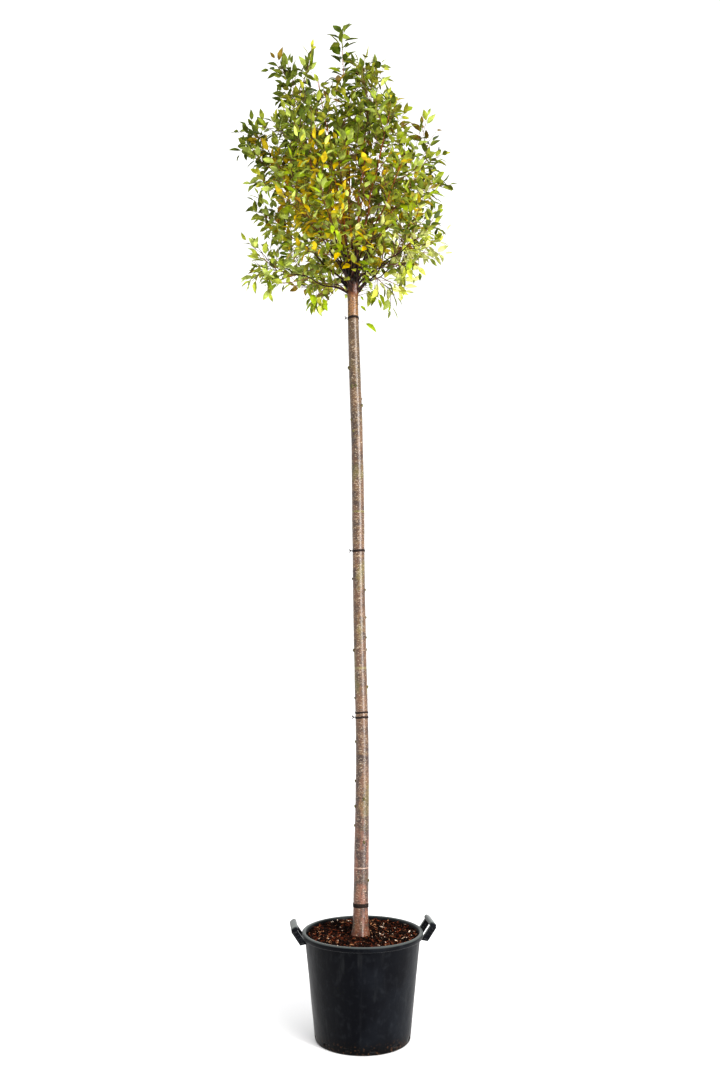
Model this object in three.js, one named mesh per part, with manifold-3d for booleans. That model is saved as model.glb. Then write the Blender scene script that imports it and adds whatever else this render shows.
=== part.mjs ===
// Globe cherry in a nursery container: a straight stem with its leafy round crown grafted on top.
// Millimetres, +Z up. The origin is the centre of the container's flat underside, and the front faces -Y.

import * as THREE from "three";
import { mergeVertices } from "three/addons/utils/BufferGeometryUtils.js";
import Module from "manifold-3d";

const wasm = await Module();
wasm.setup();

const CLEARANCE = 0.3; // left between pieces that touch

// Container
const POT_HEIGHT = 354;
const POT_BASE_RADIUS = 164;
const POT_TOP_RADIUS = 200; // of the wall, just under the rim
const POT_WALL = 3.5;
const POT_FLOOR = 5;
const POT_SIDES = 40;
const RIM_RADIUS = 210;
const RIM_DEPTH = 18;
const RIM_ROUNDING = 4;
const FOOT_CHAMFER = 5;

// Two handles, each of two arms that slope up from the rim to a grip
const HANDLE_TURN = 7; // degrees that their line is turned from the X axis
const HANDLE_SLOPE = 55.5; // degrees above the horizontal
const HANDLE_OFFSET = 7.5; // from the rim's edge out to the arms' middle line, at the height below
const HANDLE_DROP = 14; // below the rim's top
const HANDLE_REACH = 43; // along the slope to the middle of the grip
const HANDLE_WIDTH = 108;
const ARM_WIDTH = 14;
const ARM_THICKNESS = 20;
const ARM_FOOT = 11; // how far the arms run on down below the height above, along the slope
const GRIP_WIDTH = 24;
const GRIP_THICKNESS = 17;
const GRIP_INSET = 4; // how far the grip sits inside the arms' middle line

// Growing medium
const SOIL_LEVEL = 338;
const SOIL_RELIEF = 4;
const SOIL_SEAT_RADIUS = 54; // flat under the stem's foot

// Stem: its middle line as [height, sideways offset], and its radius as [height, radius]
const TRUNK_FOOT = SOIL_LEVEL + CLEARANCE;
const TRUNK_TOP = 2768;
const TRUNK_LINE = [
  [TRUNK_FOOT, -8], [600, -4], [950, -0.5], [1220, -6], [1500, -12], [1800, -15.5], [2100, -20],
  [2320, -27.5], [2450, -32], [2600, -35], [TRUNK_TOP, -37],
];
const TRUNK_RADII = [
  [TRUNK_FOOT, 34], [TRUNK_FOOT + 12, 30], [TRUNK_FOOT + 40, 27.4], [TRUNK_FOOT + 85, 26.2],
  [600, 26], [740, 24.4], [950, 23], [1300, 22], [1900, 22], [2320, 21.6], [2450, 20.8],
  [2560, 20], [2630, 20.5], [2690, 22.5], [2740, 19], [TRUNK_TOP, 8],
];
const TRUNK_SIDES = 14;
const TRUNK_RINGS = 32;
const FLARE_HEIGHT = 60;
const FLARE_LOBES = 5;
const FLARE_LOBE_DEPTH = 0.07; // share of the radius

// Ties round the stem: height, how tall the band is, and whether it ends in a cut knot
const TIES = [
  { name: "tie_foot", height: 441, band: 12, knot: false },
  { name: "tie_low_under", height: 1084, band: 7, knot: true },
  { name: "tie_low_over", height: 1101, band: 6, knot: false },
  { name: "tie_middle", height: 1678, band: 8, knot: true },
  { name: "tie_top", height: 2548, band: 8, knot: true },
];
const TIE_THICKNESS = 1.4;
const TIE_SIDES = 12;
const KNOT_RADIUS = 5;

// Crown: one limb to each mass of foliage, in rings that leave the swollen head of the stem one above
// another. A ring has its middle at centreX, and its tips lie at reach round it, at the given height.
// tilt lifts the tips on the side that tiltSide faces, and stagger lifts and lowers every second tip.
// A limb starts at foot from the stem's middle line, at the height start, and is a bare bough up to enter.
const RINGS = [
  { name: "top", count: 1, centreX: -78, reach: 0, height: 3636, tilt: 0, tiltSide: 0, stagger: 0,
    turn: 0, start: 2750, foot: 0, enter: 0.2, bow: 0 },
  { name: "upper", count: 5, centreX: -107, reach: 178, height: 3468, tilt: 26, tiltSide: 175, stagger: 0,
    turn: 178, start: 2734, foot: 11, enter: 0.18, bow: -0.02 },
  { name: "middle", count: 6, centreX: -72, reach: 330, height: 3232, tilt: 20, tiltSide: 180, stagger: 20,
    turn: 180, start: 2704, foot: 12, enter: 0.2, bow: -0.02 },
  { name: "side", count: 5, centreX: -54, reach: 362, height: 2985, tilt: 10, tiltSide: 180, stagger: 20,
    turn: 158, start: 2674, foot: 12, enter: 0.2, bow: -0.02 },
  { name: "lower", count: 5, centreX: -54, reach: 322, height: 2778, tilt: 20, tiltSide: 0, stagger: -25,
    turn: 184, start: 2642, foot: 11, enter: 0.2, bow: -0.07 },
];
const BOUGH_FOOT_RADIUS = 5;
const BOUGH_SIDES = 5;
const BOUGH_RINGS = 3;
const STEM_SIDES = 4;
const STEM_FOOT_RADIUS = 3.8; // of a mass's own stem, which is as thick there as its bough's tip
const STEM_TIP_RADIUS = 2.3;
const STEM_RINGS = 4;

// The crown's outline as [height, its middle's X, radius]. Towards its front and back the crown is rounder
// than this: a place there is taken as further above or below the waist, by a share of its depth.
const CROWN_OUTLINE = [
  [2585, -45, 200], [2700, -64, 365], [2860, -52, 420], [3120, -60, 432], [3310, -90, 405], [3390, -112, 290],
  [3560, -140, 240], [3610, -132, 190], [3650, -82, 104], [3740, -78, 92],
];
const CROWN_WAIST = 3000;
const CROWN_HALF_HEIGHT = 600;
const CROWN_ROUNDING = 0.5;

// Growth rule: side twigs leave a stem in a spiral, bend upwards, and carry leaves in a spiral
const SEED = 41;
const TWIGS = 7;
const TWIG_SPIRAL = 137.5;
const TWIG_ANGLE = 56; // degrees off the stem at its foot
const TWIG_ANGLE_FALL = 18; // how much closer the angle is at the stem's tip
const TWIG_LENGTH = 210;
const TWIG_LENGTH_FALL = 0.5; // share lost from the stem's foot to its tip
const TWIG_LIFT = 0.2; // share of its length that a twig's tip is lifted
const TWIG_FOOT_SHARE = 0.6; // a twig's radius at its foot, as a share of the stem's there
const TWIG_TIP_RADIUS = 1.6;
const TWIG_TRIES = [1, 0.75, 0.55]; // shares of the length, until the twig keeps to its space
const LEAF_SPIRAL = 144;
const LEAF_ANGLE = 62; // degrees off the line at its foot
const LEAF_ANGLE_FALL = 20; // how much closer the angle is at the line's tip
const LAST_LEAF_ANGLE = 12; // of the leaf that ends the line
const LEAVES_ON_TWIG = 8;
const LEAVES_ON_STEM = 16;
const LEAF_LENGTH = 104; // each stands for a few real leaves
const LEAF_WIDTH = 56;
const LEAF_THICKNESS = 3;
const LEAF_ROOT = 0.8; // how far behind the twig's middle line a leaf begins
const SPACE_GAP = 3; // between the spaces of two masses
const LIMB_GAP = 9; // between a leaf and a limb

const UP = new THREE.Vector3(0, 0, 1);

const at = (x, y, z) => new THREE.Vector3(x, y, z);
const radians = THREE.MathUtils.degToRad;

const CROWN_MIDDLES = CROWN_OUTLINE.map(([height, middle]) => [height, middle]);
const CROWN_RADII = CROWN_OUTLINE.map(([height, , radius]) => [height, radius]);

// A piecewise straight graph through [place, value] points.
function graph(points, place) {
  let i = 1;
  while (i < points.length - 1 && points[i][0] < place) i += 1;
  const [[a, low], [b, high]] = [points[i - 1], points[i]];
  return low + (high - low) * THREE.MathUtils.clamp((place - a) / (b - a), 0, 1);
}

function solidOf(geometry) {
  const bare = new THREE.BufferGeometry().setAttribute("position", geometry.getAttribute("position"));
  if (geometry.index) bare.setIndex(geometry.index);
  const merged = mergeVertices(bare, 1e-4);
  return new wasm.Manifold(new wasm.Mesh({
    numProp: 3,
    vertProperties: new Float32Array(merged.attributes.position.array),
    triVerts: new Uint32Array(merged.index.array),
  }));
}

function geometryOf(solid) {
  const mesh = solid.getMesh();
  const geometry = new THREE.BufferGeometry();
  geometry.setAttribute("position", new THREE.BufferAttribute(new Float32Array(mesh.vertProperties), 3));
  geometry.setIndex(new THREE.BufferAttribute(new Uint32Array(mesh.triVerts), 1));
  const flat = geometry.toNonIndexed();
  flat.computeVertexNormals();
  return flat;
}

// A closed round limb along a curve: a unit cylinder's rings are laid across the curve.
// radiusAt takes the share of the way along and the angle round the limb. The rings stand square to
// the curve unless level keeps them horizontal.
function limbGeometry(curve, radiusAt, sides, rings, level = false) {
  const geometry = new THREE.CylinderGeometry(1, 1, 1, sides, rings);
  const positions = geometry.getAttribute("position");
  const chord = curve.getPoint(1).sub(curve.getPoint(0)).normalize();
  const side = Math.abs(chord.z) > 0.9 ? at(1, 0, 0) : new THREE.Vector3().crossVectors(chord, UP);
  const local = new THREE.Vector3();
  for (let i = 0; i < positions.count; i += 1) {
    local.fromBufferAttribute(positions, i);
    const share = local.y + 0.5;
    const along = level ? UP : curve.getTangent(share);
    const across = side.clone().addScaledVector(along, -side.dot(along)).normalize();
    const third = new THREE.Vector3().crossVectors(across, along);
    const radius = radiusAt(share, Math.atan2(local.z, local.x));
    const place = curve.getPoint(share);
    place.addScaledVector(across, local.x * radius).addScaledVector(third, local.z * radius);
    positions.setXYZ(i, place.x, place.y, place.z);
  }
  return geometry;
}

// Container

function potProfile() {
  const inside = (height) => potWallRadius(height) - POT_WALL;
  const rimFoot = POT_HEIGHT - RIM_DEPTH;
  return [
    [0, 0],
    [POT_BASE_RADIUS - FOOT_CHAMFER, 0],
    [POT_BASE_RADIUS, FOOT_CHAMFER],
    [POT_TOP_RADIUS, rimFoot],
    [RIM_RADIUS - RIM_ROUNDING / 2, rimFoot],
    [RIM_RADIUS, rimFoot + RIM_ROUNDING],
    [RIM_RADIUS, POT_HEIGHT - RIM_ROUNDING],
    [RIM_RADIUS - RIM_ROUNDING, POT_HEIGHT],
    [POT_TOP_RADIUS, POT_HEIGHT],
    [POT_TOP_RADIUS - POT_WALL, POT_HEIGHT - RIM_ROUNDING],
    [inside(rimFoot), rimFoot],
    [inside(POT_FLOOR), POT_FLOOR],
    [0, POT_FLOOR],
  ].map(([radius, height]) => new THREE.Vector2(radius, height));
}

function potWallRadius(height) {
  const share = (height - FOOT_CHAMFER) / (POT_HEIGHT - RIM_DEPTH - FOOT_CHAMFER);
  return POT_BASE_RADIUS + (POT_TOP_RADIUS - POT_BASE_RADIUS) * share;
}

// A lathe turns about Y, and this stands it up along Z.
function latheUpright(profile, sides) {
  return new THREE.LatheGeometry(profile, sides).rotateX(Math.PI / 2);
}

// The space that the container's outside fills, a little larger, which the handles' arms are cut back from.
function potOutside() {
  const grown = [
    [0, -1],
    [POT_BASE_RADIUS + CLEARANCE, -1],
    [POT_TOP_RADIUS + CLEARANCE, POT_HEIGHT - RIM_DEPTH - CLEARANCE],
    [RIM_RADIUS + CLEARANCE, POT_HEIGHT - RIM_DEPTH - CLEARANCE],
    [RIM_RADIUS + CLEARANCE, POT_HEIGHT + CLEARANCE],
    [0, POT_HEIGHT + CLEARANCE],
  ];
  return solidOf(latheUpright(grown.map(([radius, height]) => new THREE.Vector2(radius, height)), POT_SIDES));
}

// A section of a handle, given along and across its slope, stood up in the plane of X and Z and drawn out
// to a width that has its middle at offset.
function handlePiece(corners, width, offset) {
  const slope = radians(HANDLE_SLOPE);
  const outline = corners.map(([along, across]) => new THREE.Vector2(
    RIM_RADIUS + HANDLE_OFFSET + along * Math.cos(slope) + across * Math.sin(slope),
    POT_HEIGHT - HANDLE_DROP + along * Math.sin(slope) - across * Math.cos(slope),
  ));
  const geometry = new THREE.ExtrudeGeometry(new THREE.Shape(outline), { depth: width, bevelEnabled: false });
  return geometry.rotateX(Math.PI / 2).translate(0, offset + width / 2, 0);
}

// An arm's foot runs in under the rim, and the container's outside is cut from it.
function handleSolid(sideTurn) {
  const half = ARM_THICKNESS / 2;
  const [wide, thick] = [GRIP_WIDTH / 2, GRIP_THICKNESS / 2];
  const arm = [[-ARM_FOOT, half], [HANDLE_REACH, half], [HANDLE_REACH, -half], [-ARM_FOOT * 2, -half - 1]];
  const grip = [
    [-thick, wide * 0.6], [-thick * 0.3, wide], [thick * 0.4, wide], [thick, wide * 0.6],
    [thick, -wide * 0.6], [thick * 0.4, -wide], [-thick * 0.3, -wide], [-thick, -wide * 0.6],
  ].map(([along, across]) => [HANDLE_REACH + along, across - GRIP_INSET]);
  const armOffset = (HANDLE_WIDTH - ARM_WIDTH) / 2;
  const pieces = [
    handlePiece(arm, ARM_WIDTH, -armOffset),
    handlePiece(arm, ARM_WIDTH, armOffset),
    handlePiece(grip, HANDLE_WIDTH + 2, 0),
  ];
  const turned = pieces.map((piece) => solidOf(piece.rotateZ(radians(HANDLE_TURN + sideTurn))));
  const whole = turned[0].add(turned[1]).add(turned[2]);
  return largestBody(whole.subtract(potOutside()));
}

function largestBody(solid) {
  return solid.decompose().reduce((best, next) => (next.volume() > best.volume() ? next : best));
}

// The growing medium fills the container, with an uneven top that is flat under the stem.
function soilGeometry() {
  const bottom = POT_FLOOR + CLEARANCE;
  const wall = (height) => potWallRadius(height) - POT_WALL - CLEARANCE;
  const profile = [
    [0, bottom],
    [wall(bottom), bottom],
    [wall(SOIL_LEVEL - 5), SOIL_LEVEL - 3],
    [155, SOIL_LEVEL],
    [108, SOIL_LEVEL + 1],
    [80, SOIL_LEVEL + 1],
    [SOIL_SEAT_RADIUS, SOIL_LEVEL],
    [0, SOIL_LEVEL],
  ].map(([radius, height]) => new THREE.Vector2(radius, height));
  const geometry = latheUpright(profile, POT_SIDES);
  const positions = geometry.getAttribute("position");
  for (let i = 0; i < positions.count; i += 1) {
    const [x, y, z] = [positions.getX(i), positions.getY(i), positions.getZ(i)];
    const radius = Math.hypot(x, y);
    const loose = z > SOIL_LEVEL - 4 && radius > SOIL_SEAT_RADIUS + 5;
    if (loose) positions.setZ(i, z + SOIL_RELIEF * (Math.sin(x / 17 + 1) * Math.cos(y / 13) + 0.4 * Math.sin((x + y) / 7)));
  }
  return geometry;
}

// Stem

const trunkCurve = new THREE.CatmullRomCurve3(TRUNK_LINE.map(([height, offset]) => at(offset, 0, height)));

function trunkHeight(share) {
  return trunkCurve.getPoint(share).z;
}

// grown widens the whole stem, for cutting the boughs' feet back from it.
function trunkGeometry(grown = 0) {
  const radiusAt = (share, angle) => {
    const height = trunkHeight(share);
    const flare = Math.max(0, 1 - (height - TRUNK_FOOT) / FLARE_HEIGHT);
    const lobes = 1 + FLARE_LOBE_DEPTH * flare * Math.cos(FLARE_LOBES * angle + 0.7);
    return graph(TRUNK_RADII, height) * lobes + grown;
  };
  return limbGeometry(trunkCurve, radiusAt, TRUNK_SIDES, TRUNK_RINGS, true);
}

function trunkShareAt(height) {
  let [low, high] = [0, 1];
  for (let i = 0; i < 40; i += 1) {
    const middle = (low + high) / 2;
    if (trunkHeight(middle) < height) low = middle;
    else high = middle;
  }
  return low;
}

// A tie is a flat ring round the stem, and its knot stands out on the left.
function tieSolid({ height, band, knot }) {
  const stem = Math.max(graph(TRUNK_RADII, height - band), graph(TRUNK_RADII, height + band));
  const inside = (stem + CLEARANCE) / Math.cos(Math.PI / TIE_SIDES);
  const outside = inside + TIE_THICKNESS;
  const profile = [
    [inside, -band / 2],
    [outside, -band / 2],
    [outside, band / 2],
    [inside, band / 2],
    [inside, -band / 2],
  ].map(([radius, along]) => new THREE.Vector2(radius, along));
  const share = trunkShareAt(height);
  const lean = new THREE.Quaternion().setFromUnitVectors(UP, trunkCurve.getTangent(share));
  const place = new THREE.Matrix4().makeRotationFromQuaternion(lean).setPosition(trunkCurve.getPoint(share));
  let solid = solidOf(latheUpright(profile, TIE_SIDES).applyMatrix4(place));
  if (knot) {
    const lump = new THREE.IcosahedronGeometry(KNOT_RADIUS, 0).translate(-outside - KNOT_RADIUS * 0.7, 0, 0);
    solid = solid.add(solidOf(lump.applyMatrix4(place)));
  }
  return solid;
}

// Crown

// Draws the same numbers on every run.
class Draws {
  constructor(seed) {
    this.state = 1 + ((seed * 7919 + 104729) % 2147483646);
    for (let i = 0; i < 4; i += 1) this.next();
  }

  next() {
    this.state = (this.state * 16807) % 2147483647;
    return this.state / 2147483647;
  }

  between(low, high) {
    return low + (high - low) * this.next();
  }
}

// How much further from its waist the crown's outline is read at a given depth.
function rounding(height, depth) {
  const above = THREE.MathUtils.clamp((height - CROWN_WAIST) / CROWN_HALF_HEIGHT, -1, 1);
  return CROWN_ROUNDING * Math.abs(depth) * above;
}

// A limb leaves the stem's head and curves up to its tip: a bow pushes its middle outwards and down.
function limbOf(ring, index) {
  const azimuth = radians(ring.turn + (360 * index) / ring.count);
  const lift = ring.tilt * Math.cos(azimuth - radians(ring.tiltSide));
  const stagger = ring.count > 1 ? ring.stagger * (index % 2 ? -1 : 1) : 0;
  const tip = at(
    ring.centreX + ring.reach * Math.cos(azimuth),
    ring.reach * Math.sin(azimuth),
    ring.height + lift + stagger,
  );
  tip.z -= rounding(ring.height, tip.y);
  const start = trunkCurve.getPoint(trunkShareAt(ring.start));
  const outward = at(Math.cos(azimuth), Math.sin(azimuth), 0);
  start.addScaledVector(outward, ring.foot);
  const far = tip.distanceTo(start);
  const middle = start.clone().lerp(tip, 0.5);
  middle.addScaledVector(outward, ring.bow * far).addScaledVector(UP, -ring.bow * far * 0.6);
  const curve = new THREE.QuadraticBezierCurve3(start, middle, tip);
  const name = ring.count > 1 ? ring.name + "_" + (index + 1) : ring.name;
  return { name, curve, enter: ring.enter, seed: SEED + 100 * RINGS.indexOf(ring) + index };
}

const limbs = RINGS.flatMap((ring) => Array.from({ length: ring.count }, (_, index) => limbOf(ring, index)));

// The stretch of a quadratic curve from one share to another, as a curve of its own.
function stretch(curve, from, to) {
  const start = curve.getPoint(from);
  const end = curve.getPoint(to);
  const pull = curve.v1.clone().sub(curve.v0).lerp(curve.v2.clone().sub(curve.v1), from);
  const middle = start.clone().addScaledVector(pull, to - from);
  return new THREE.QuadraticBezierCurve3(start, middle, end);
}

const taper = (foot, tip) => (share) => foot + (tip - foot) * share;

for (const limb of limbs) {
  const gap = CLEARANCE / limb.curve.getLength();
  limb.bough = stretch(limb.curve, 0, limb.enter);
  limb.stem = stretch(limb.curve, limb.enter + gap, 1);
  limb.boughPoints = limb.bough.getPoints(8);
  limb.stemPoints = limb.stem.getPoints(8);
}

function distanceToLine(point, line) {
  const segment = new THREE.Line3();
  const near = new THREE.Vector3();
  let best = Infinity;
  for (let i = 1; i < line.length; i += 1) {
    segment.set(line[i - 1], line[i]).closestPointToPoint(point, true, near);
    best = Math.min(best, near.distanceTo(point));
  }
  return best;
}

// True where a point is nearest its own stem, clear of every limb, and inside the crown's outline.
function inSpace(point, limb) {
  const own = distanceToLine(point, limb.stemPoints);
  const height = point.z + rounding(point.z, point.y);
  if (Math.hypot(point.x - graph(CROWN_MIDDLES, height), point.y) > graph(CROWN_RADII, height)) return false;
  if (height < CROWN_OUTLINE[0][0]) return false;
  return limbs.every((other) => {
    if (distanceToLine(point, other.boughPoints) < BOUGH_FOOT_RADIUS + LIMB_GAP) return false;
    return other === limb || distanceToLine(point, other.stemPoints) > own + SPACE_GAP;
  });
}

// A direction that leans off the line's own direction by angle, at spiral degrees round it.
function offDirection(along, angle, spiral) {
  const side = Math.abs(along.z) > 0.95 ? at(1, 0, 0) : new THREE.Vector3().crossVectors(along, UP).normalize();
  const across = side.addScaledVector(along, -side.dot(along)).normalize();
  across.applyAxisAngle(along, radians(spiral));
  return along.clone().multiplyScalar(Math.cos(radians(angle))).addScaledVector(across, Math.sin(radians(angle)));
}

function twigLine(stem, share, spiral, length) {
  const foot = stem.getPoint(share);
  const direction = offDirection(stem.getTangent(share), TWIG_ANGLE - TWIG_ANGLE_FALL * share, spiral);
  const tip = foot.clone().addScaledVector(direction, length).addScaledVector(UP, length * TWIG_LIFT);
  return new THREE.LineCurve3(foot, tip);
}

// The side twigs of a limb's stem, each the longest that keeps to the mass's space.
function twigsOf(limb) {
  const draws = new Draws(limb.seed);
  const firstTurn = draws.between(0, 360);
  const twigs = [];
  for (let i = 0; i < TWIGS; i += 1) {
    const share = 0.05 + (0.82 * (i + draws.between(0.1, 0.9))) / TWIGS;
    const full = TWIG_LENGTH * (1 - TWIG_LENGTH_FALL * share) * draws.between(0.85, 1.15);
    const spiral = firstTurn + TWIG_SPIRAL * i;
    const lengths = TWIG_TRIES.map((part) => full * part);
    const lines = lengths.map((length) => twigLine(limb.stem, share, spiral, length));
    const fits = lines.find((line) => line.getPoints(6).slice(1).every((point) => inSpace(point, limb)));
    if (fits) twigs.push({ line: fits, share });
  }
  return twigs;
}

// Where a leaf grows from a line, and how it lies: its direction, its width's side and the way it faces.
function leafFrame(line, share, angle, spiral, size, draws) {
  const along = line.getTangent(share);
  const direction = offDirection(along, angle, spiral);
  direction.z -= draws.between(-0.1, 0.3);
  direction.normalize();
  const facing = along.clone().multiplyScalar(0.5).addScaledVector(UP, 0.9);
  facing.add(at(draws.between(-0.5, 0.5), draws.between(-0.5, 0.5), 0));
  facing.addScaledVector(direction, -facing.dot(direction)).normalize();
  const root = line.getPoint(share).addScaledVector(direction, -LEAF_ROOT);
  const sideways = new THREE.Vector3().crossVectors(facing, direction);
  return { root, direction, sideways, facing, length: LEAF_LENGTH * size, width: LEAF_WIDTH * size };
}

// A leaf has a root, a tip, two edges and a ridge on its upper face: a sphere of three sides and two
// bands has such corners, and is stretched onto them.
function leafGeometry({ root, direction, sideways, facing, length, width }) {
  const basis = new THREE.Matrix4().makeBasis(
    facing.clone().multiplyScalar(LEAF_THICKNESS / 1.5),
    direction.clone().multiplyScalar(length / 2),
    sideways.clone().multiplyScalar(width / Math.sqrt(3)),
  );
  basis.setPosition(root.clone().addScaledVector(direction, length / 2));
  return new THREE.SphereGeometry(1, 3, 2).applyMatrix4(basis);
}

// The root, edge, tip and edge of a leaf, in turn.
function leafCorners({ root, direction, sideways, length, width }) {
  const point = (along, across) =>
    root.clone().addScaledVector(direction, along * length).addScaledVector(sideways, (across * width) / 2);
  return [point(0, 0), point(0.5, 1), point(1, 0), point(0.5, -1)];
}

function leafInSpace(corners, limb) {
  const [root, left, tip, right] = corners;
  const between = [root, tip].flatMap((end) => [left, right].map((edge) => end.clone().lerp(edge, 0.5)));
  return [left, tip, right, ...between].every((point) => inSpace(point, limb));
}

// True where the stretch between two points passes through a leaf.
function pierces(from, to, [root, left, tip, right]) {
  const step = to.clone().sub(from);
  const ray = new THREE.Ray(from, step.clone().normalize());
  const hit = new THREE.Vector3();
  return [left, right].some((edge) => {
    const met = ray.intersectTriangle(root, edge, tip, false, hit);
    return met !== null && hit.distanceTo(from) < step.length();
  });
}

function leavesCross(one, other) {
  const edgesPierce = (a, b) => a.some((corner, i) => pierces(corner, a[(i + 1) % 4], b));
  return edgesPierce(one, other) || edgesPierce(other, one);
}

// Leaves in a spiral along a line, from its tip down. One that would leave the mass's space, or cross
// another leaf or one of the other lines, is left out.
function addLeaves(limb, lines, line, count, from, draws, leaves) {
  const firstTurn = draws.between(0, 360);
  for (let i = 0; i < count; i += 1) {
    const share = 0.985 - ((0.985 - from) * i) / (count - 1);
    const angle = i ? LEAF_ANGLE - LEAF_ANGLE_FALL * share : LAST_LEAF_ANGLE;
    const frame = leafFrame(line, share, angle, firstTurn + LEAF_SPIRAL * i, draws.between(0.85, 1.1), draws);
    const corners = leafCorners(frame);
    const free =
      leafInSpace(corners, limb) &&
      lines.every((other) => other === line || !pierces(other.getPoint(0), other.getPoint(1), corners)) &&
      leaves.every((other) => !leavesCross(corners, other.corners));
    if (free) leaves.push({ frame, corners });
  }
}

// One mass: its stem, side twigs and leaves fused into one solid.
function massSolid(limb) {
  const draws = new Draws(limb.seed + 5000);
  const twigs = twigsOf(limb);
  const stemRadius = taper(STEM_FOOT_RADIUS, STEM_TIP_RADIUS);
  let solid = solidOf(limbGeometry(limb.stem, stemRadius, STEM_SIDES, STEM_RINGS));
  for (const { line, share } of twigs) {
    const radius = taper(stemRadius(share) * TWIG_FOOT_SHARE, TWIG_TIP_RADIUS);
    solid = solid.add(solidOf(limbGeometry(line, radius, 3, 1)));
  }
  const lines = [limb.stem, ...twigs.map((twig) => twig.line)];
  const leaves = [];
  for (const twig of twigs) addLeaves(limb, lines, twig.line, LEAVES_ON_TWIG, 0.3, draws, leaves);
  addLeaves(limb, lines, limb.stem, LEAVES_ON_STEM, 0.08, draws, leaves);
  for (const { frame } of leaves) solid = solid.add(solidOf(leafGeometry(frame)));
  return { solid: largestBody(solid), leafCount: leaves.length };
}

// Assembly

const finish = (color, roughness) => new THREE.MeshStandardMaterial({ color, roughness, metalness: 0 });
const materials = {
  plastic: finish(0x1c1f22, 0.5),
  soil: finish(0x3c2016, 0.95),
  bark: finish(0x8a6a58, 0.7),
  boughBark: finish(0x4a2c22, 0.7),
  tie: finish(0x1e1a18, 0.6),
  foliage: finish(0x5d7a1c, 0.5),
};

const tree = new THREE.Group();

function addPiece(name, geometry, material) {
  const mesh = new THREE.Mesh(geometry, material);
  mesh.name = name;
  tree.add(mesh);
}

addPiece("pot", latheUpright(potProfile(), POT_SIDES), materials.plastic);
addPiece("pot_handle_right", geometryOf(handleSolid(0)), materials.plastic);
addPiece("pot_handle_left", geometryOf(handleSolid(180)), materials.plastic);
addPiece("soil", soilGeometry(), materials.soil);
addPiece("trunk", trunkGeometry(), materials.bark);
for (const tie of TIES) addPiece(tie.name, geometryOf(tieSolid(tie)), materials.tie);

const trunkGrown = solidOf(trunkGeometry(CLEARANCE));
for (const limb of limbs) {
  const bough = limbGeometry(limb.bough, taper(BOUGH_FOOT_RADIUS, STEM_FOOT_RADIUS), BOUGH_SIDES, BOUGH_RINGS);
  addPiece("bough_" + limb.name, geometryOf(largestBody(solidOf(bough).subtract(trunkGrown))), materials.boughBark);
  addPiece("foliage_" + limb.name, geometryOf(massSolid(limb).solid), materials.foliage);
}

export default tree;
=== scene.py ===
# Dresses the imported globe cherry: a potted standard tree with its leafy crown on a straight stem.
# Metres, +Z up. The origin is the centre of the container's flat underside, and the front faces -Y.

import math

import bmesh
import bpy
import numpy as np
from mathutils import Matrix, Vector, noise


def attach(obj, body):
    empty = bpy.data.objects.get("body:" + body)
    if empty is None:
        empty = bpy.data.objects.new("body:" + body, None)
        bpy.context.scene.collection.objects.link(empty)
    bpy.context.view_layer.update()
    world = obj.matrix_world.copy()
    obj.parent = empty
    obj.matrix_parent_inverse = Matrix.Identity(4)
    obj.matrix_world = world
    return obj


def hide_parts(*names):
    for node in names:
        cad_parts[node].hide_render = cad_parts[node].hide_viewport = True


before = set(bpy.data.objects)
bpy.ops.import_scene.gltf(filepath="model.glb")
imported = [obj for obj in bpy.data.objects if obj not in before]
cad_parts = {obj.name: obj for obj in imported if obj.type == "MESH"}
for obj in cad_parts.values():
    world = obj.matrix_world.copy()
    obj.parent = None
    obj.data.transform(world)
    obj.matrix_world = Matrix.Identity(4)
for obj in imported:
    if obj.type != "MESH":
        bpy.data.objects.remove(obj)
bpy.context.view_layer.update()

# Sizes shared with the solids

POT_HEIGHT = 0.354
POT_BASE_RADIUS = 0.164
POT_TOP_RADIUS = 0.200
POT_WALL = 0.0035
RIM_RADIUS = 0.210
RIM_DEPTH = 0.018
HANDLE_TURN = 7
HANDLE_SLOPE = 55.5
HANDLE_OFFSET = 0.0075
HANDLE_DROP = 0.014
HANDLE_REACH = 0.043
HANDLE_WIDTH = 0.108
ARM_WIDTH = 0.014

SOIL_LEVEL = 0.338

TRUNK_FOOT = 0.3383
TRUNK_TOP = 2.768
# height, X of the stem's middle
TRUNK_LINE = [
    (TRUNK_FOOT, -0.008), (0.6, -0.004), (0.95, -0.0005), (1.22, -0.006), (1.5, -0.012), (1.8, -0.0155),
    (2.1, -0.020), (2.32, -0.0275), (2.45, -0.032), (2.6, -0.035), (TRUNK_TOP, -0.037),
]
# height, radius
TRUNK_RADII = [
    (TRUNK_FOOT, 0.034), (TRUNK_FOOT + 0.012, 0.030), (TRUNK_FOOT + 0.04, 0.0274),
    (TRUNK_FOOT + 0.085, 0.0262),
    (0.6, 0.026), (0.74, 0.0244), (0.95, 0.023), (1.3, 0.022), (1.9, 0.022), (2.32, 0.0216), (2.45, 0.0208),
    (2.56, 0.020), (2.63, 0.0205), (2.69, 0.0225), (2.74, 0.019), (TRUNK_TOP, 0.008),
]
FLARE_HEIGHT = 0.06
FLARE_LOBES = 5
FLARE_LOBE_DEPTH = 0.07
FLARE_LOBE_TURN = 0.7

# node, height, height of the band, whether its ends stand out on the left
TIES = [
    ("tie_foot", 0.441, 0.013, False),
    ("tie_low_under", 1.084, 0.007, True),
    ("tie_low_over", 1.101, 0.006, False),
    ("tie_middle", 1.678, 0.008, True),
    ("tie_top", 2.548, 0.009, True),
]

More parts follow.
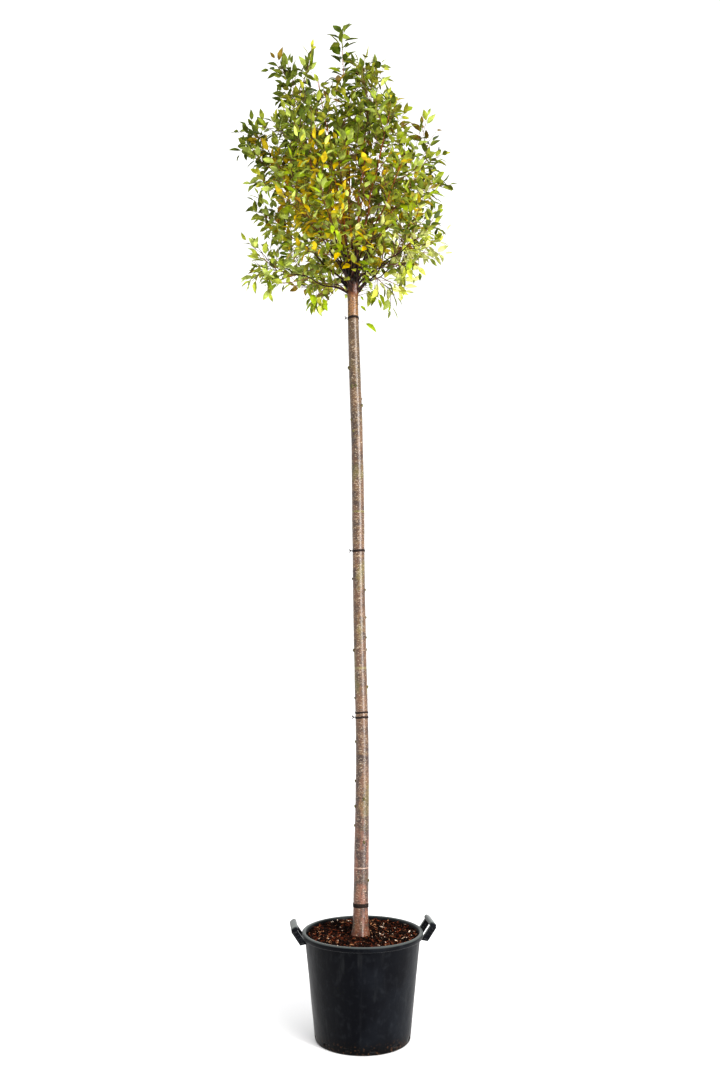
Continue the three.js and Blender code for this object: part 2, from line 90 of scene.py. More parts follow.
RINGS = [
    dict(name="top", count=1, centre_x=-0.078, reach=0, height=3.636, tilt=0, tilt_side=0, stagger=0,
         turn=0, start=2.750, foot=0, enter=0.2, bow=0),
    dict(name="upper", count=5, centre_x=-0.107, reach=0.178, height=3.468, tilt=0.026, tilt_side=175,
         stagger=0, turn=178, start=2.734, foot=0.011, enter=0.18, bow=-0.02),
    dict(name="middle", count=6, centre_x=-0.072, reach=0.330, height=3.232, tilt=0.020, tilt_side=180,
         stagger=0.020, turn=180, start=2.704, foot=0.012, enter=0.2, bow=-0.02),
    dict(name="side", count=5, centre_x=-0.054, reach=0.362, height=2.985, tilt=0.010, tilt_side=180,
         stagger=0.020, turn=158, start=2.674, foot=0.012, enter=0.2, bow=-0.02),
    dict(name="lower", count=5, centre_x=-0.054, reach=0.322, height=2.778, tilt=0.020, tilt_side=0,
         stagger=-0.025, turn=184, start=2.642, foot=0.011, enter=0.2, bow=-0.07),
]
BOW_LIFT = 0.6
# height, X of the crown's middle, radius
CROWN_OUTLINE = [
    (2.585, -0.045, 0.200), (2.700, -0.064, 0.365), (2.860, -0.052, 0.420), (3.120, -0.060, 0.432),
    (3.310, -0.090, 0.405), (3.390, -0.112, 0.290), (3.560, -0.140, 0.240), (3.610, -0.132, 0.190),
    (3.650, -0.082, 0.104), (3.740, -0.078, 0.092),
]
CROWN_MIDDLES = [(height, middle) for height, middle, _ in CROWN_OUTLINE]
CROWN_RADII = [(height, radius) for height, _, radius in CROWN_OUTLINE]
CROWN_FOOT = CROWN_OUTLINE[0][0]
CROWN_WAIST = 3.0
CROWN_HALF_HEIGHT = 0.6
CROWN_ROUNDING = 0.5
GAP = 0.0003
BOUGH_CLEAR = 0.014
SPACE_GAP = 0.003

SEED = 41
TWIGS = 7
TWIGS_FROM = 0.05
TWIGS_OVER = 0.82
TWIG_SPIRAL = 137.5
TWIG_ANGLE = 56
TWIG_ANGLE_FALL = 18
TWIG_LENGTH = 0.210
TWIG_LENGTH_FALL = 0.5
TWIG_LIFT = 0.2
TWIG_TRIES = (1, 0.75, 0.55)
LINE_STEPS = 8

# Finer growth, in this file only

# share of the limb's length, radius
LIMB_RADII = [(0, 0.0056), (0.05, 0.0042), (0.25, 0.0029), (0.7, 0.0019), (1, 0.0010)]
LIMB_STEPS = 26
LIMB_SIDES = 8
SWAY = 0.006
SWAY_TAIL = 0.17
SWAY_TAIL_SHARE = 0.1
SWAY_RUN = 1.2
SWAY_WAVES = (17, 13)
SWAY_PHASES = (1.7, 2.1)
TWIG_FOOT_RADIUS = 0.0019
TWIG_TIP_RADIUS = 0.0008
SPRIG_FOOT_RADIUS = 0.0011
SPRIG_TIP_RADIUS = 0.0006
SHOOT_FOOT_RADIUS = 0.0014
# kind of growth: points along it, radius at its foot and tip, sides
GROWTH = {
    "twig": (6, TWIG_FOOT_RADIUS, TWIG_TIP_RADIUS, 5),
    "leader": (4, TWIG_TIP_RADIUS, SPRIG_TIP_RADIUS, 5),
    "sprig": (4, SPRIG_FOOT_RADIUS, SPRIG_TIP_RADIUS, 4),
    "shoot": (4, SHOOT_FOOT_RADIUS, SPRIG_TIP_RADIUS, 5),
}
SPRIG_SPACING = 0.036
STEM_SPRIG_SPACING = 0.040
# height, how much closer together side twigs stand there
SPRIG_DENSITY = [(2.9, 1.05), (3.15, 1.3), (3.4, 1.55), (3.7, 1.5)]
SPRIG_LENGTH = 0.085
SPRIG_ANGLE = 46
SPRIG_LIFT = 0.5
SPRIG_TRIES = (1, 0.7, 0.45)
SPRIG_CLEAR = 0.012
SPRIG_BOW = 0.05
SPRIG_LEAVES_FROM = 0.22
SPRIG_LEAF_SIZE = 0.95
BARE_SHARE = 0.09
LEAF_SPACING = 0.0124
LEADER_LENGTH = 0.055
LEADER_LENGTHS = (0.7, 1.2)
LEADER_RISE = 0.8
LEADER_BOW = 0.03
YOUNG_SPACING = LEAF_SPACING * 0.9
TOP_LEADER = 0.045
LEADER_FROM = 0.76
LEADER_DRESSED = 0.28
LEADER_LEAF_SPACING = 0.0068
LEADER_LEAF_WIDTH = 0.56
# low limb: how many twigs hang from it, between which shares of its length
HANGING = {
    "lower_1": (7, 0.26, 0.66), "lower_2": (3, 0.5, 1.0), "lower_3": (4, 0.45, 1.0),
    "lower_4": (4, 0.45, 1.0), "lower_5": (3, 0.4, 1.0),
}
HANGING_REACH = 0.06
HANGING_LENGTHS = (0.045, 0.095)
DROOP = 0.7
LEAF_SPIRAL = 144
LEAF_LENGTH = 0.050
LEAF_WIDTH = 0.46
STALK_LENGTH = 0.010
LEAF_APART = 0.009
LEAF_REACH = 0.012
LEAF_CLEAR = 0.008
ODD_LEAVES = 0.22
OUTLINE_REACH = -0.024
OUTLINE_RAGGEDNESS = 0.080
OUTLINE_GRAIN = 10
INSIDE = 0.42
INSIDE_BARE = 0.5
# the bare strip down the crown's front, where the upright limbs are seen
WINDOW_MIDDLE = (0.01, 2.97)
WINDOW_HALF_SIZE = (0.085, 0.17)
WINDOW_BARE = 0.8
WINDOW_EDGE = 3
# X, height, half width and half height of each gap right through the crown
SKY_GAPS = [
    (-0.145, 3.570, 0.042, 0.085), (-0.170, 3.500, 0.038, 0.040), (0.075, 3.655, 0.075, 0.068),
    (-0.360, 3.450, 0.035, 0.040), (-0.455, 3.010, 0.030, 0.035), (0.170, 3.370, 0.030, 0.035),
    (0.285, 3.260, 0.035, 0.050), (-0.340, 3.290, 0.022, 0.030), (-0.410, 2.910, 0.050, 0.035),
    (0.330, 2.980, 0.035, 0.035), (0.300, 2.890, 0.045, 0.030), (-0.410, 2.800, 0.045, 0.035),
    (0.100, 2.715, 0.050, 0.035), (-0.230, 2.650, 0.035, 0.040), (-0.100, 2.630, 0.038, 0.055),
]
# where single sprays end that fill out the crown or stand out of it
REACHES = [
    (-0.40, 0.00, 3.15), (-0.38, -0.06, 3.07), (-0.36, 0.05, 3.00), (-0.37, 0.08, 3.11), (-0.46, 0.00, 3.26),
    (-0.40, 0.00, 2.73), (-0.38, 0.03, 2.70), (-0.32, 0.00, 3.57), (-0.28, 0.00, 3.53), (-0.28, 0.05, 3.44),
    (-0.31, 0.00, 3.36), (-0.30, 0.00, 3.20), (0.08, 0.00, 3.51), (0.12, 0.04, 3.47), (0.22, 0.00, 3.34),
    (0.29, 0.00, 3.15), (0.25, 0.06, 3.12), (0.24, -0.06, 3.05), (-0.06, -0.10, 3.31), (-0.04, -0.12, 3.24),
    (0.00, -0.12, 3.17), (-0.03, -0.15, 3.10), (-0.19, -0.10, 2.80), (0.10, -0.12, 2.78), (-0.18, 0.00, 2.60),
    (0.08, -0.02, 2.65), (0.15, 0.00, 2.61),
]
REACH_MARGIN = 0.12

UP = np.array([0.0, 0.0, 1.0])

# Helpers


def radians(value):
    return value * math.pi / 180


def unit(vector):
    return vector / np.linalg.norm(vector)


def squared(vector, along):
    """The part of a direction that is square to the unit vector along, made a unit vector."""
    return unit(vector - along * vector.dot(along))


def outward_at(angle):
    """The level direction at an angle from +X."""
    return np.array([math.cos(angle), math.sin(angle), 0])


def turns(count):
    """Angles evenly round a circle."""
    return [2 * math.pi * i / count for i in range(count)]


def clamp(value):
    return max(0.0, min(1.0, value))


def over(value, start):
    """How far a value is over its start, and 0 under it."""
    return max(0.0, value - start)


def fall(value, end):
    """1 at 0, falling evenly to 0 at the end and past it."""
    return max(0.0, 1 - value / end)


def peak(value, middle, half_width):
    """1 at the middle, falling evenly to 0 at half_width from it."""
    return fall(abs(value - middle), half_width)


def graph(points, place):
    """The value at a place of a piecewise straight graph through (place, value) points."""
    places, values = zip(*points)
    return np.interp(place, places, values)


def lumps(x, y, height, across, up, shift=0):
    """Noise with features 1 / across metres wide and 1 / up metres tall, from about -1 to 1."""
    return noise.noise(Vector((x * across, y * across, height * up + shift)))


def bulged(value, power):
    """A sine or cosine whose circle is swelled towards a square by a power under 1."""
    return math.copysign(abs(value) ** power, value)


def put(name, data):
    """A new object in the scene that shows the given data."""
    made = bpy.data.objects.new(name, data)
    bpy.context.scene.collection.objects.link(made)
    return made


class Draws:
    """Draws the same numbers on every run, as the solids' source does."""

    def __init__(self, seed):
        self.state = 1 + (seed * 7919 + 104729) % 2147483646
        for _ in range(4):
            self.next()

    def next(self):
        self.state = self.state * 16807 % 2147483647
        return self.state / 2147483647

    def between(self, low, high):
        return low + (high - low) * self.next()


class Curve:
    """A line from start to end that is drawn towards a middle point."""

    def __init__(self, start, middle, end):
        self.corners = start, middle, end

    def at(self, share):
        start, middle, end = self.corners
        return start * (1 - share) ** 2 + middle * 2 * share * (1 - share) + end * share ** 2

    def along(self, share):
        start, middle, end = self.corners
        return unit((middle - start) * (1 - share) + (end - middle) * share)

    def points(self, count):
        return [self.at(share) for share in np.linspace(0, 1, count)]


class Shape:
    """Gathers the points and faces of one piece."""

    def __init__(self):
        self.points = []
        self.faces = []
        self.slots = []

    def add(self, points, faces, slot=0):
        base = len(self.points)
        self.points.extend(map(tuple, points))
        self.faces.extend(tuple(base + corner for corner in face) for face in faces)
        self.slots.extend([slot] * len(faces))

    def piece(self, name, materials, slot, replaced=(), smooth=True):
        mesh = bpy.data.meshes.new(name)
        mesh.from_pydata(self.points, [], self.faces)
        for each in materials:
            mesh.materials.append(each)
        mesh.polygons.foreach_set("material_index", self.slots)
        mesh.polygons.foreach_set("use_smooth", [smooth] * len(self.faces))
        mesh.validate()
        mesh.update()
        made = put(name, mesh)
        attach(made, "root")
        if replaced:
            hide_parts(*replaced)
        return made


def weld(piece):
    """Joins the points that lie on each other, such as those on a lathe's axis."""
    mesh = bmesh.new()
    mesh.from_mesh(piece.data)
    bmesh.ops.remove_doubles(mesh, verts=mesh.verts, dist=1e-6)
    bmesh.ops.recalc_face_normals(mesh, faces=mesh.faces)
    mesh.to_mesh(piece.data)
    mesh.free()


def frame_round(along, steep=0.9):
    """Two directions square to a line's direction and to each other."""
    side = np.array([1.0, 0, 0]) if abs(along[2]) > steep else unit(np.cross(along, UP))
    side = squared(side, along)
    return side, np.cross(along, side)


def band_faces(rings, sides):
    """The four-sided faces between rings of points, each with the same number of them."""
    return [
        (r * sides + i, r * sides + (i + 1) % sides, (r + 1) * sides + (i + 1) % sides, (r + 1) * sides + i)
        for r in range(rings - 1) for i in range(sides)
    ]


def add_tube(shape, centres, radii, sides):
    """A closed round limb through the given centres."""
    centres = np.asarray(centres, float)
    tangents = np.gradient(centres, axis=0)
    side = frame_round(unit(centres[-1] - centres[0]))[0]
    points = []
    angles = turns(sides)
    for centre, tangent, radius in zip(centres, tangents, radii):
        along = unit(tangent)
        across = squared(side, along)
        third = np.cross(along, across)
        points.extend(centre + radius * (np.outer(np.cos(angles), across) + np.outer(np.sin(angles), third)))
    faces = band_faces(len(centres), sides)
    faces.append(tuple(reversed(range(sides))))
    faces.append(tuple((len(centres) - 1) * sides + i for i in range(sides)))
    shape.add(points, faces)


# Materials


class Finish:
    """A node material: a principled shader whose colour, roughness and relief come from noise."""

    def __init__(self, name, roughness=0.5, specular=0.5):
        self.material = bpy.data.materials.new(name)
        self.material.use_nodes = True
        self.tree = self.material.node_tree
        self.shader = self.tree.nodes["Principled BSDF"]
        self.shader.inputs["Roughness"].default_value = roughness
        self.shader.inputs["Specular IOR Level"].default_value = specular
        self.place = self.tree.nodes.new("ShaderNodeTexCoord").outputs["Object"]

    def node(self, kind, inputs=(), **settings):
        made = self.tree.nodes.new(kind)
        for key, value in settings.items():
            setattr(made, key, value)
        for key, value in dict(inputs).items():
            if isinstance(value, bpy.types.NodeSocket):
                self.tree.links.new(value, made.inputs[key])
            else:
                made.inputs[key].default_value = value
        return made

    def noise(self, stretch, detail=3, roughness=0.55, shift=(0, 0, 0)):
        """Noise with features 1 / stretch metres large along X, Y and Z."""
        placed = self.node("ShaderNodeMapping", {"Vector": self.place, "Scale": stretch, "Location": shift})
        inputs = {"Vector": placed.outputs[0], "Scale": 1.0, "Detail": detail, "Roughness": roughness}
        return self.node("ShaderNodeTexNoise", inputs).outputs[0]

    def step(self, value, low, high):
        """0 below low, 1 above high, smooth between."""
        inputs = {"Value": value, "From Min": low, "From Max": high}
        return self.node("ShaderNodeMapRange", inputs, interpolation_type="SMOOTHSTEP").outputs[0]

    def math(self, operation, first, second=0.0):
        return self.node("ShaderNodeMath", {0: first, 1: second}, operation=operation).outputs[0]

    def times(self, first, second):
        return self.math("MULTIPLY", first, second)

    def mix(self, share, first, second):
        made = self.node("ShaderNodeMix", {0: share}, data_type="RGBA")
        for key, colour in ((6, first), (7, second)):
            if isinstance(colour, bpy.types.NodeSocket):
                self.tree.links.new(colour, made.inputs[key])
            else:
                made.inputs[key].default_value = (*colour, 1)
        return made.outputs[2]

    def lay(self, base, colour, pattern, low, high, share=1):
        """The base with a share of a colour laid on it, where a pattern goes from low to high."""
        shown = self.step(pattern, low, high)
        return self.mix(shown if share == 1 else self.times(shown, share), base, colour)

    def height(self):
        return self.node("ShaderNodeSeparateXYZ", {0: self.place}).outputs["Z"]

    def facing_up(self):
        normal = self.node("ShaderNodeNewGeometry").outputs["Normal"]
        return self.node("ShaderNodeSeparateXYZ", {0: normal}).outputs["Z"]

    def colour(self, socket):
        self.tree.links.new(socket, self.shader.inputs["Base Color"])

    def rough(self, value, low, high):
        made = self.node("ShaderNodeMapRange", {"Value": value, "To Min": low, "To Max": high})
        self.tree.links.new(made.outputs[0], self.shader.inputs["Roughness"])

    def relief(self, value, depth, strength=1.0):
        bump = self.node("ShaderNodeBump", {"Height": value, "Distance": depth, "Strength": strength})
        self.tree.links.new(bump.outputs[0], self.shader.inputs["Normal"])


def srgb(red, green, blue):
    """A colour given as it looks on a screen, 0 to 255, as a linear one."""
    def linear(value):
        value /= 255
        return value / 12.92 if value <= 0.04045 else ((value + 0.055) / 1.055) ** 2.4
    return linear(red), linear(green), linear(blue)


def shaded(colour, share):
    return tuple(value * share for value in colour)


def leaf_finish(name, colour, under=False):
    made = Finish(name, roughness=0.7 if under else 0.34, specular=0.04 if under else 0.15)
    patches = made.noise((34, 34, 34), detail=2)
    base = made.lay(shaded(colour, 0.62), shaded(colour, 1.4), patches, 0.36, 0.64)
    specks = made.noise((420, 420, 420), detail=2)
    rusty = (colour[0] * 1.25, colour[1], colour[2])
    made.colour(made.lay(base, shaded(rusty, 0.6), specks, 0.62, 0.75))
    made.relief(made.noise((900, 900, 900), detail=1), depth=0.0004, strength=0.35)
    return made.material


def bark_finish():
    made = Finish("stem_bark", specular=0.75)
    height = made.height()
    rose, brown = srgb(94, 64, 40), srgb(48, 28, 16)
    olive, pale = srgb(102, 96, 40), srgb(216, 198, 172)
    patches = made.noise((30, 30, 14), detail=5, roughness=0.65)
    base = made.lay(brown, rose, patches, 0.36, 0.62)
    rings = made.noise((6, 6, 60), shift=(3, 1, 5))
    base = made.lay(base, srgb(118, 92, 58), rings, 0.5, 0.66, share=0.45)
    green = made.noise((11, 11, 7), shift=(9, 4, 2))
    base = made.lay(base, olive, green, 0.53, 0.66, share=0.55)
    # the stem is redder towards its foot and yellower towards its head
    red = made.lay(srgb(48, 20, 14), srgb(110, 62, 44), patches, 0.44, 0.56)
    base = made.lay(base, red, height, 0.95, 0.55, share=0.75)
    base = made.lay(base, srgb(74, 54, 12), height, 1.95, 2.35, share=0.40)
    dashes = made.noise((120, 120, 520), shift=(1, 7, 3))
    base = made.lay(base, pale, dashes, 0.58, 0.66, share=0.6)
    marks = made.noise((150, 150, 330), shift=(5, 2, 8))
    base = made.lay(base, srgb(38, 24, 18), marks, 0.56, 0.66, share=0.95)
    # height, half height and colour of the rings that stand out
    for place, half, tone in (
        (1.2575, 0.004, srgb(112, 104, 62)), (0.5677, 0.0016, srgb(176, 150, 132)), (1.82, 0.003, olive),
    ):
        off = made.math("ABSOLUTE", made.math("SUBTRACT", height, place))
        base = made.lay(base, tone, off, half * 1.6, half * 0.6, share=0.65)
    # soil clings to the foot
    base = made.lay(base, srgb(84, 44, 28), height, 0.372, 0.346, share=made.step(patches, 0.62, 0.42))
    # above the top tie the bark turns golden, then red, then dark between the boughs, the dark a painted
    # shade under the crown's head
    golden = made.lay(srgb(150, 106, 62), srgb(74, 44, 28), marks, 0.45, 0.58)
    base = made.lay(base, golden, height, 2.53, 2.575, share=0.8)
    reddish = made.lay(srgb(64, 26, 18), srgb(112, 62, 36), patches, 0.4, 0.6)
    base = made.lay(base, reddish, height, 2.615, 2.645)
    made.colour(made.lay(base, srgb(24, 12, 14), height, 2.66, 2.70))
    made.rough(dashes, 0.22, 0.46)
    raised = made.math("ADD", made.times(made.step(dashes, 0.58, 0.66), 0.6), made.times(marks, 0.9))
    made.relief(raised, depth=0.0009, strength=0.9)
    return made.material


def knot_finish():
    made = Finish("knot_bark", roughness=0.7)
    rough = made.noise((300, 300, 300))
    made.colour(made.lay(srgb(34, 28, 12), srgb(96, 90, 44), rough, 0.35, 0.65))
    made.relief(rough, depth=0.001, strength=0.8)
    return made.material


def tie_finish():
    made = Finish("tie_rubber", roughness=0.75, specular=0.15)
    worn = made.noise((260, 260, 700))
    made.colour(made.lay(srgb(30, 22, 20), srgb(72, 58, 50), worn, 0.5, 0.75))
    made.relief(worn, depth=0.0006, strength=0.6)
    return made.material


def bough_finish():
    made = Finish("young_bark", specular=0.25)
    patches = made.noise((40, 40, 18))
    dark = made.lay(srgb(20, 9, 9), srgb(46, 22, 16), patches, 0.35, 0.65)
    red = made.lay(srgb(104, 52, 24), srgb(168, 98, 48), patches, 0.35, 0.65)
    # painted shade: the boughs are near black low in the crown's head, where its shade falls, and red higher
    # up
    base = made.lay(dark, red, made.height(), 2.78, 2.92)
    dashes = made.noise((160, 160, 700), detail=2)
    made.colour(made.lay(base, srgb(150, 112, 80), dashes, 0.62, 0.72, share=0.4))
    made.relief(dashes, depth=0.0006, strength=0.6)
    return made.material


def twig_finish(name, dark, light):
    made = Finish(name)
    patches = made.noise((60, 60, 60), detail=2)
    made.colour(made.lay(dark, light, patches, 0.35, 0.65))
    made.relief(made.noise((500, 500, 500), detail=1), depth=0.0004, strength=0.5)
    return made.material


def plastic_finish(name, dust_and_top_light=1.0):
    """Black plastic with a dusty film, streaks and scuffs, and soil along its foot; its upward faces are
    lighter, dusty and with painted light from above, and painted shade blackens its foot.
    """
    made = Finish(name, specular=0.08)
    film = made.noise((5, 5, 3.2), detail=5, roughness=0.6)
    base = made.lay(srgb(0, 1, 6), srgb(38, 43, 50), film, 0.45, 0.72, share=0.24 * dust_and_top_light)
    streaks = made.noise((34, 34, 3.5), detail=4, shift=(2, 5, 1))
    base = made.lay(base, srgb(86, 88, 88), streaks, 0.56, 0.74, share=0.09 * dust_and_top_light)
    scuffs = made.noise((52, 52, 40), detail=6, shift=(8, 3, 6))
    base = made.lay(base, srgb(70, 74, 78), scuffs, 0.50, 0.74, share=0.08)
    # upward faces lighter grey: painted light from above, and a dusty film settled there too
    base = made.lay(base, srgb(92, 98, 96), made.facing_up(), 0.15, 0.8, share=min(0.9, 0.55 * dust_and_top_light))
    height = made.height()
    # painted shade: the lowest 5 cm darken towards black, where the foot stands in shade on the floor
    base = made.lay(base, srgb(0, 0, 0), height, 0.05, 0.0, share=0.9)
    specks = made.noise((130, 130, 130), shift=(4, 4, 4))
    made.colour(made.lay(base, srgb(70, 48, 32), height, 0.05, 0.0, share=made.step(specks, 0.55, 0.66)))
    made.rough(made.step(film, 0.3, 0.75), 0.34, 0.62)
    grain = made.times(made.noise((240, 240, 240)), 0.35)
    dents = made.noise((26, 26, 12), shift=(7, 1, 2))
    made.relief(made.math("ADD", grain, dents), depth=0.0022, strength=0.45)
    made.shader.inputs["Sheen Weight"].default_value = 0.16 * dust_and_top_light
    made.shader.inputs["Sheen Roughness"].default_value = 0.4
    return made.material


def soil_finish():
    made = Finish("soil", roughness=0.95, specular=0.05)
    crumbs = made.noise((260, 260, 260), detail=4)
    base = made.lay(srgb(7, 3, 2), srgb(40, 20, 13), crumbs, 0.4, 0.68)
    flecks = made.noise((420, 420, 420), detail=2, shift=(3, 3, 3))
    made.colour(made.lay(base, srgb(130, 90, 62), flecks, 0.70, 0.76))
    made.relief(crumbs, depth=0.004)
    return made.material


def chip_finish(name, colour):
    made = Finish(name, roughness=0.85, specular=0.08)
    fibres = made.noise((300, 300, 300))
    made.colour(made.lay(shaded(colour, 0.6), shaded(colour, 1.25), fibres, 0.35, 0.7))
    made.relief(fibres, depth=0.001, strength=0.8)
    return made.material


# Stem

TRUNK_SAMPLES = 1200
TRUNK_SIDES = 56
TRUNK_STEP = 0.004
RADIUS_SPREAD = (-0.01, -0.005, 0, 0.005, 0.01)
BARK_SWELL = 0.0011
BARK_GRAIN = 0.0005
BARK_LINES = 0.00035
HEAD_BURRS = 0.0035
HEAD_FROM = 2.58
FOOT_BURRS = 0.002
BURR_RUN = 0.05
TIE_ROOM = 0.006
TIE_PINCH = 0.0002


def centripetal(points, t):
    """A point of the centripetal curve through the given points, with t from 0 to 1 over all of them."""
    points = np.asarray(points, float)
    place = t * (len(points) - 1)
    i = min(int(place), len(points) - 2)
    weight = place - i
    one, two = points[i], points[i + 1]
    before = points[i - 1] if i else 2 * one - two
    after = points[i + 2] if i + 2 < len(points) else 2 * two - one
    first, own, last = (np.linalg.norm(b - a) ** 0.5 for a, b in ((before, one), (one, two), (two, after)))
    start = ((one - before) / first - (two - before) / (first + own) + (two - one) / own) * own
    end = ((two - one) / own - (after - one) / (own + last) + (after - two) / last) * own
    bend, twist = -3 * one + 3 * two - 2 * start - end, 2 * one - 2 * two + start + end
    return one + start * weight + bend * weight ** 2 + twist * weight ** 3


trunk_corners = [(x, 0, height) for height, x in TRUNK_LINE]
trunk_samples = np.array([centripetal(trunk_corners, t) for t in np.linspace(0, 1, TRUNK_SAMPLES)])


def trunk_middle(height):
    return np.array([np.interp(height, trunk_samples[:, 2], trunk_samples[:, 0]), 0.0, height])


def trunk_radius(height, angle=0.0):
    flare = fall(height - TRUNK_FOOT, FLARE_HEIGHT)
    lobes = 1 + FLARE_LOBE_DEPTH * flare * math.cos(FLARE_LOBES * angle + FLARE_LOBE_TURN)
    return np.mean([graph(TRUNK_RADII, height + shift) for shift in RADIUS_SPREAD]) * lobes


def on_trunk(height, outward, sunk):
    """A place above the stem's flare, at its round section or sunk under it."""
    return trunk_middle(height) + outward * (trunk_radius(height) - sunk)


def trunk_relief(height, angle, radius):
    """How far the bark stands out from its round section."""
    x, y = math.cos(angle) * radius, math.sin(angle) * radius
    swell = BARK_SWELL * lumps(x, y, height, 9, 7)
    grain = BARK_GRAIN * lumps(x, y, height, 60, 95)
    lines = BARK_LINES * max(0.0, lumps(x, y, height, 40, 330, shift=7))
    head = clamp((height - HEAD_FROM) / BURR_RUN) * HEAD_BURRS * lumps(x, y, height, 45, 28)
    foot = fall(height - TRUNK_FOOT, BURR_RUN) * FOOT_BURRS * lumps(x, y, height, 60, 60)
    near_tie = min(abs(height - place) - band / 2 for _, place, band, _ in TIES)
    room = clamp(near_tie / TIE_ROOM)
    return (swell + grain + lines) * room - TIE_PINCH * (1 - room) + head * room + foot


def make_trunk():
    shape = Shape()
    heights = np.append(np.arange(TRUNK_FOOT, TRUNK_TOP - 0.001, TRUNK_STEP), TRUNK_TOP)
    points = []
    for height in heights:
        middle = trunk_middle(height)
        for angle in turns(TRUNK_SIDES):
            radius = trunk_radius(height, angle)
            radius += trunk_relief(height, angle, radius)
            points.append(middle + outward_at(angle) * radius)
    rings, n = len(heights), TRUNK_SIDES
    foot, top = len(points), len(points) + 1
    points += [trunk_middle(TRUNK_FOOT), trunk_middle(TRUNK_TOP)]
    faces = band_faces(rings, n)
    faces += [((i + 1) % n, i, foot) for i in range(n)]
    faces += [((rings - 1) * n + i, (rings - 1) * n + (i + 1) % n, top) for i in range(n)]
    shape.add(points, faces)
    shape.piece("trunk_bark", [bark_finish()], "bark", ["trunk"])


# height, turn in degrees to the right of the front and size of each bud or cut knot on the stem
KNOTS = [
    (2.356, -72, 0.0062), (2.283, -34, 0.0062), (2.286, 4, 0.0052), (2.214, 75, 0.0056),
    (2.160, -60, 0.0044), (2.117, -35, 0.0042), (1.576, -82, 0.0038), (1.536, 78, 0.0040),
    (1.365, 76, 0.0040), (1.319, -80, 0.0058), (1.190, 80, 0.0048), (1.151, -78, 0.0040),
    (0.998, -82, 0.0042), (0.862, -80, 0.0044), (0.802, 15, 0.0046), (0.775, -76, 0.0048),
    (0.709, -78, 0.0044), (0.655, 20, 0.0048), (0.523, 74, 0.0044),
]
HIDDEN_KNOTS = 16
# between which heights, turns and sizes those at the back are
HIDDEN_RANGES = ((0.55, 2.45), (105, 255), (0.0036, 0.0052))
KNOT_SEED = 6
KNOT_SUNK = 0.1
KNOT_TALL = 1.35
KNOT_FLAT = 0.95
KNOT_RINGS = 6
KNOT_SIDES = 9


def hidden_knot(draws):
    """A knot at the back of the stem, which the photo doesn't show."""
    return tuple(draws.between(low, high) for low, high in HIDDEN_RANGES)


def make_knots():
    shape = Shape()
    draws = Draws(KNOT_SEED)
    behind = [hidden_knot(draws) for _ in range(HIDDEN_KNOTS)]
    for height, turn, size in KNOTS + behind:
        outward = outward_at(radians(turn - 90))
        middle = on_trunk(height, outward, size * KNOT_SUNK)
        up = unit(UP + outward * 0.5)
        across = np.cross(outward, UP)
        third = np.cross(across, up)
        points = []
        for r in range(KNOT_RINGS + 1):
            tilt = math.pi * r / KNOT_RINGS
            tall = size * KNOT_TALL * math.cos(tilt)
            for turned in turns(KNOT_SIDES):
                wide = size * math.sin(tilt) * draws.between(0.85, 1.1)
                sideways = across * wide * math.cos(turned)
                points.append(middle + up * tall + sideways + third * wide * math.sin(turned) * KNOT_FLAT)
        shape.add(points, band_faces(KNOT_RINGS + 1, KNOT_SIDES))
    shape.piece("stem_knots", [knot_finish()], "bark")


TIE_SIDES = 48
TIE_SECTION = 10
TIE_THICKNESS = 0.0006
TIE_WAVE = 0.0009
TIE_END_RADIUS = 0.0012
TIE_TWIST_RADII = (0.0022, 0.0027, 0.0025, 0.0014)
# how far each loose end goes up and towards the back
TIE_ENDS = ((0.007, -0.004), (-0.006, 0.003), (0.002, 0.006))


def add_band(shape, middle, lean, stem, band, phase):
    """A flat ring with rounded edges, close round a stem of the given radius."""
    across, third = frame_round(lean)
    section = []
    for turn in turns(TIE_SECTION):
        out = bulged(math.cos(turn), 0.5) * TIE_THICKNESS
        section.append((stem + TIE_THICKNESS + out, bulged(math.sin(turn), 0.35) * band / 2))
    points = []
    for turn in turns(TIE_SIDES):
        outward = across * math.cos(turn) + third * math.sin(turn)
        wave = TIE_WAVE * math.sin(2 * turn + phase)
        points += [middle + outward * radius + lean * (along + wave) for radius, along in section]
    faces = []
    for s in range(TIE_SIDES):
        here, after = s * TIE_SECTION, (s + 1) % TIE_SIDES * TIE_SECTION
        for i in range(TIE_SECTION):
            beside = (i + 1) % TIE_SECTION
            faces.append((here + i, after + i, after + beside, here + beside))
    shape.add(points, faces)


def add_tie_ends(shape, left):
    """The twist that closes a tie, and the cut ends that stand out of it."""
    for rise, spread in TIE_ENDS:
        tip = left + np.array([-0.0095, spread, rise])
        bend = left + np.array([-0.006, spread * 0.2, rise * 0.1])
        add_tube(shape, Curve(left, bend, tip).points(6), [TIE_END_RADIUS] * 6, 6)
    twist = [left + np.array([-0.001 - 0.0045 * t, 0, 0]) for t in np.linspace(0, 1, len(TIE_TWIST_RADII))]
    add_tube(shape, twist, TIE_TWIST_RADII, 8)


def make_ties():
    material = tie_finish()
    for node, height, band, ends in TIES:
        shape = Shape()
        middle = trunk_middle(height)
        lean = unit(trunk_middle(height + 0.01) - trunk_middle(height - 0.01))
        stem = max(graph(TRUNK_RADII, height - band), graph(TRUNK_RADII, height + band))
        add_band(shape, middle, lean, stem, band, height * 9)
        if ends:
            add_tie_ends(shape, middle + np.array([-(stem + 0.0022), -0.004, 0]))
        shape.piece(node.replace("tie", "band"), [material], "tie", [node])


# Crown: the limbs and twigs of the solids


def rounding(height, depth):
    """How much further from its waist the crown's outline is read at a given depth."""
    return CROWN_ROUNDING * np.abs(depth) * np.clip((height - CROWN_WAIST) / CROWN_HALF_HEIGHT, -1, 1)


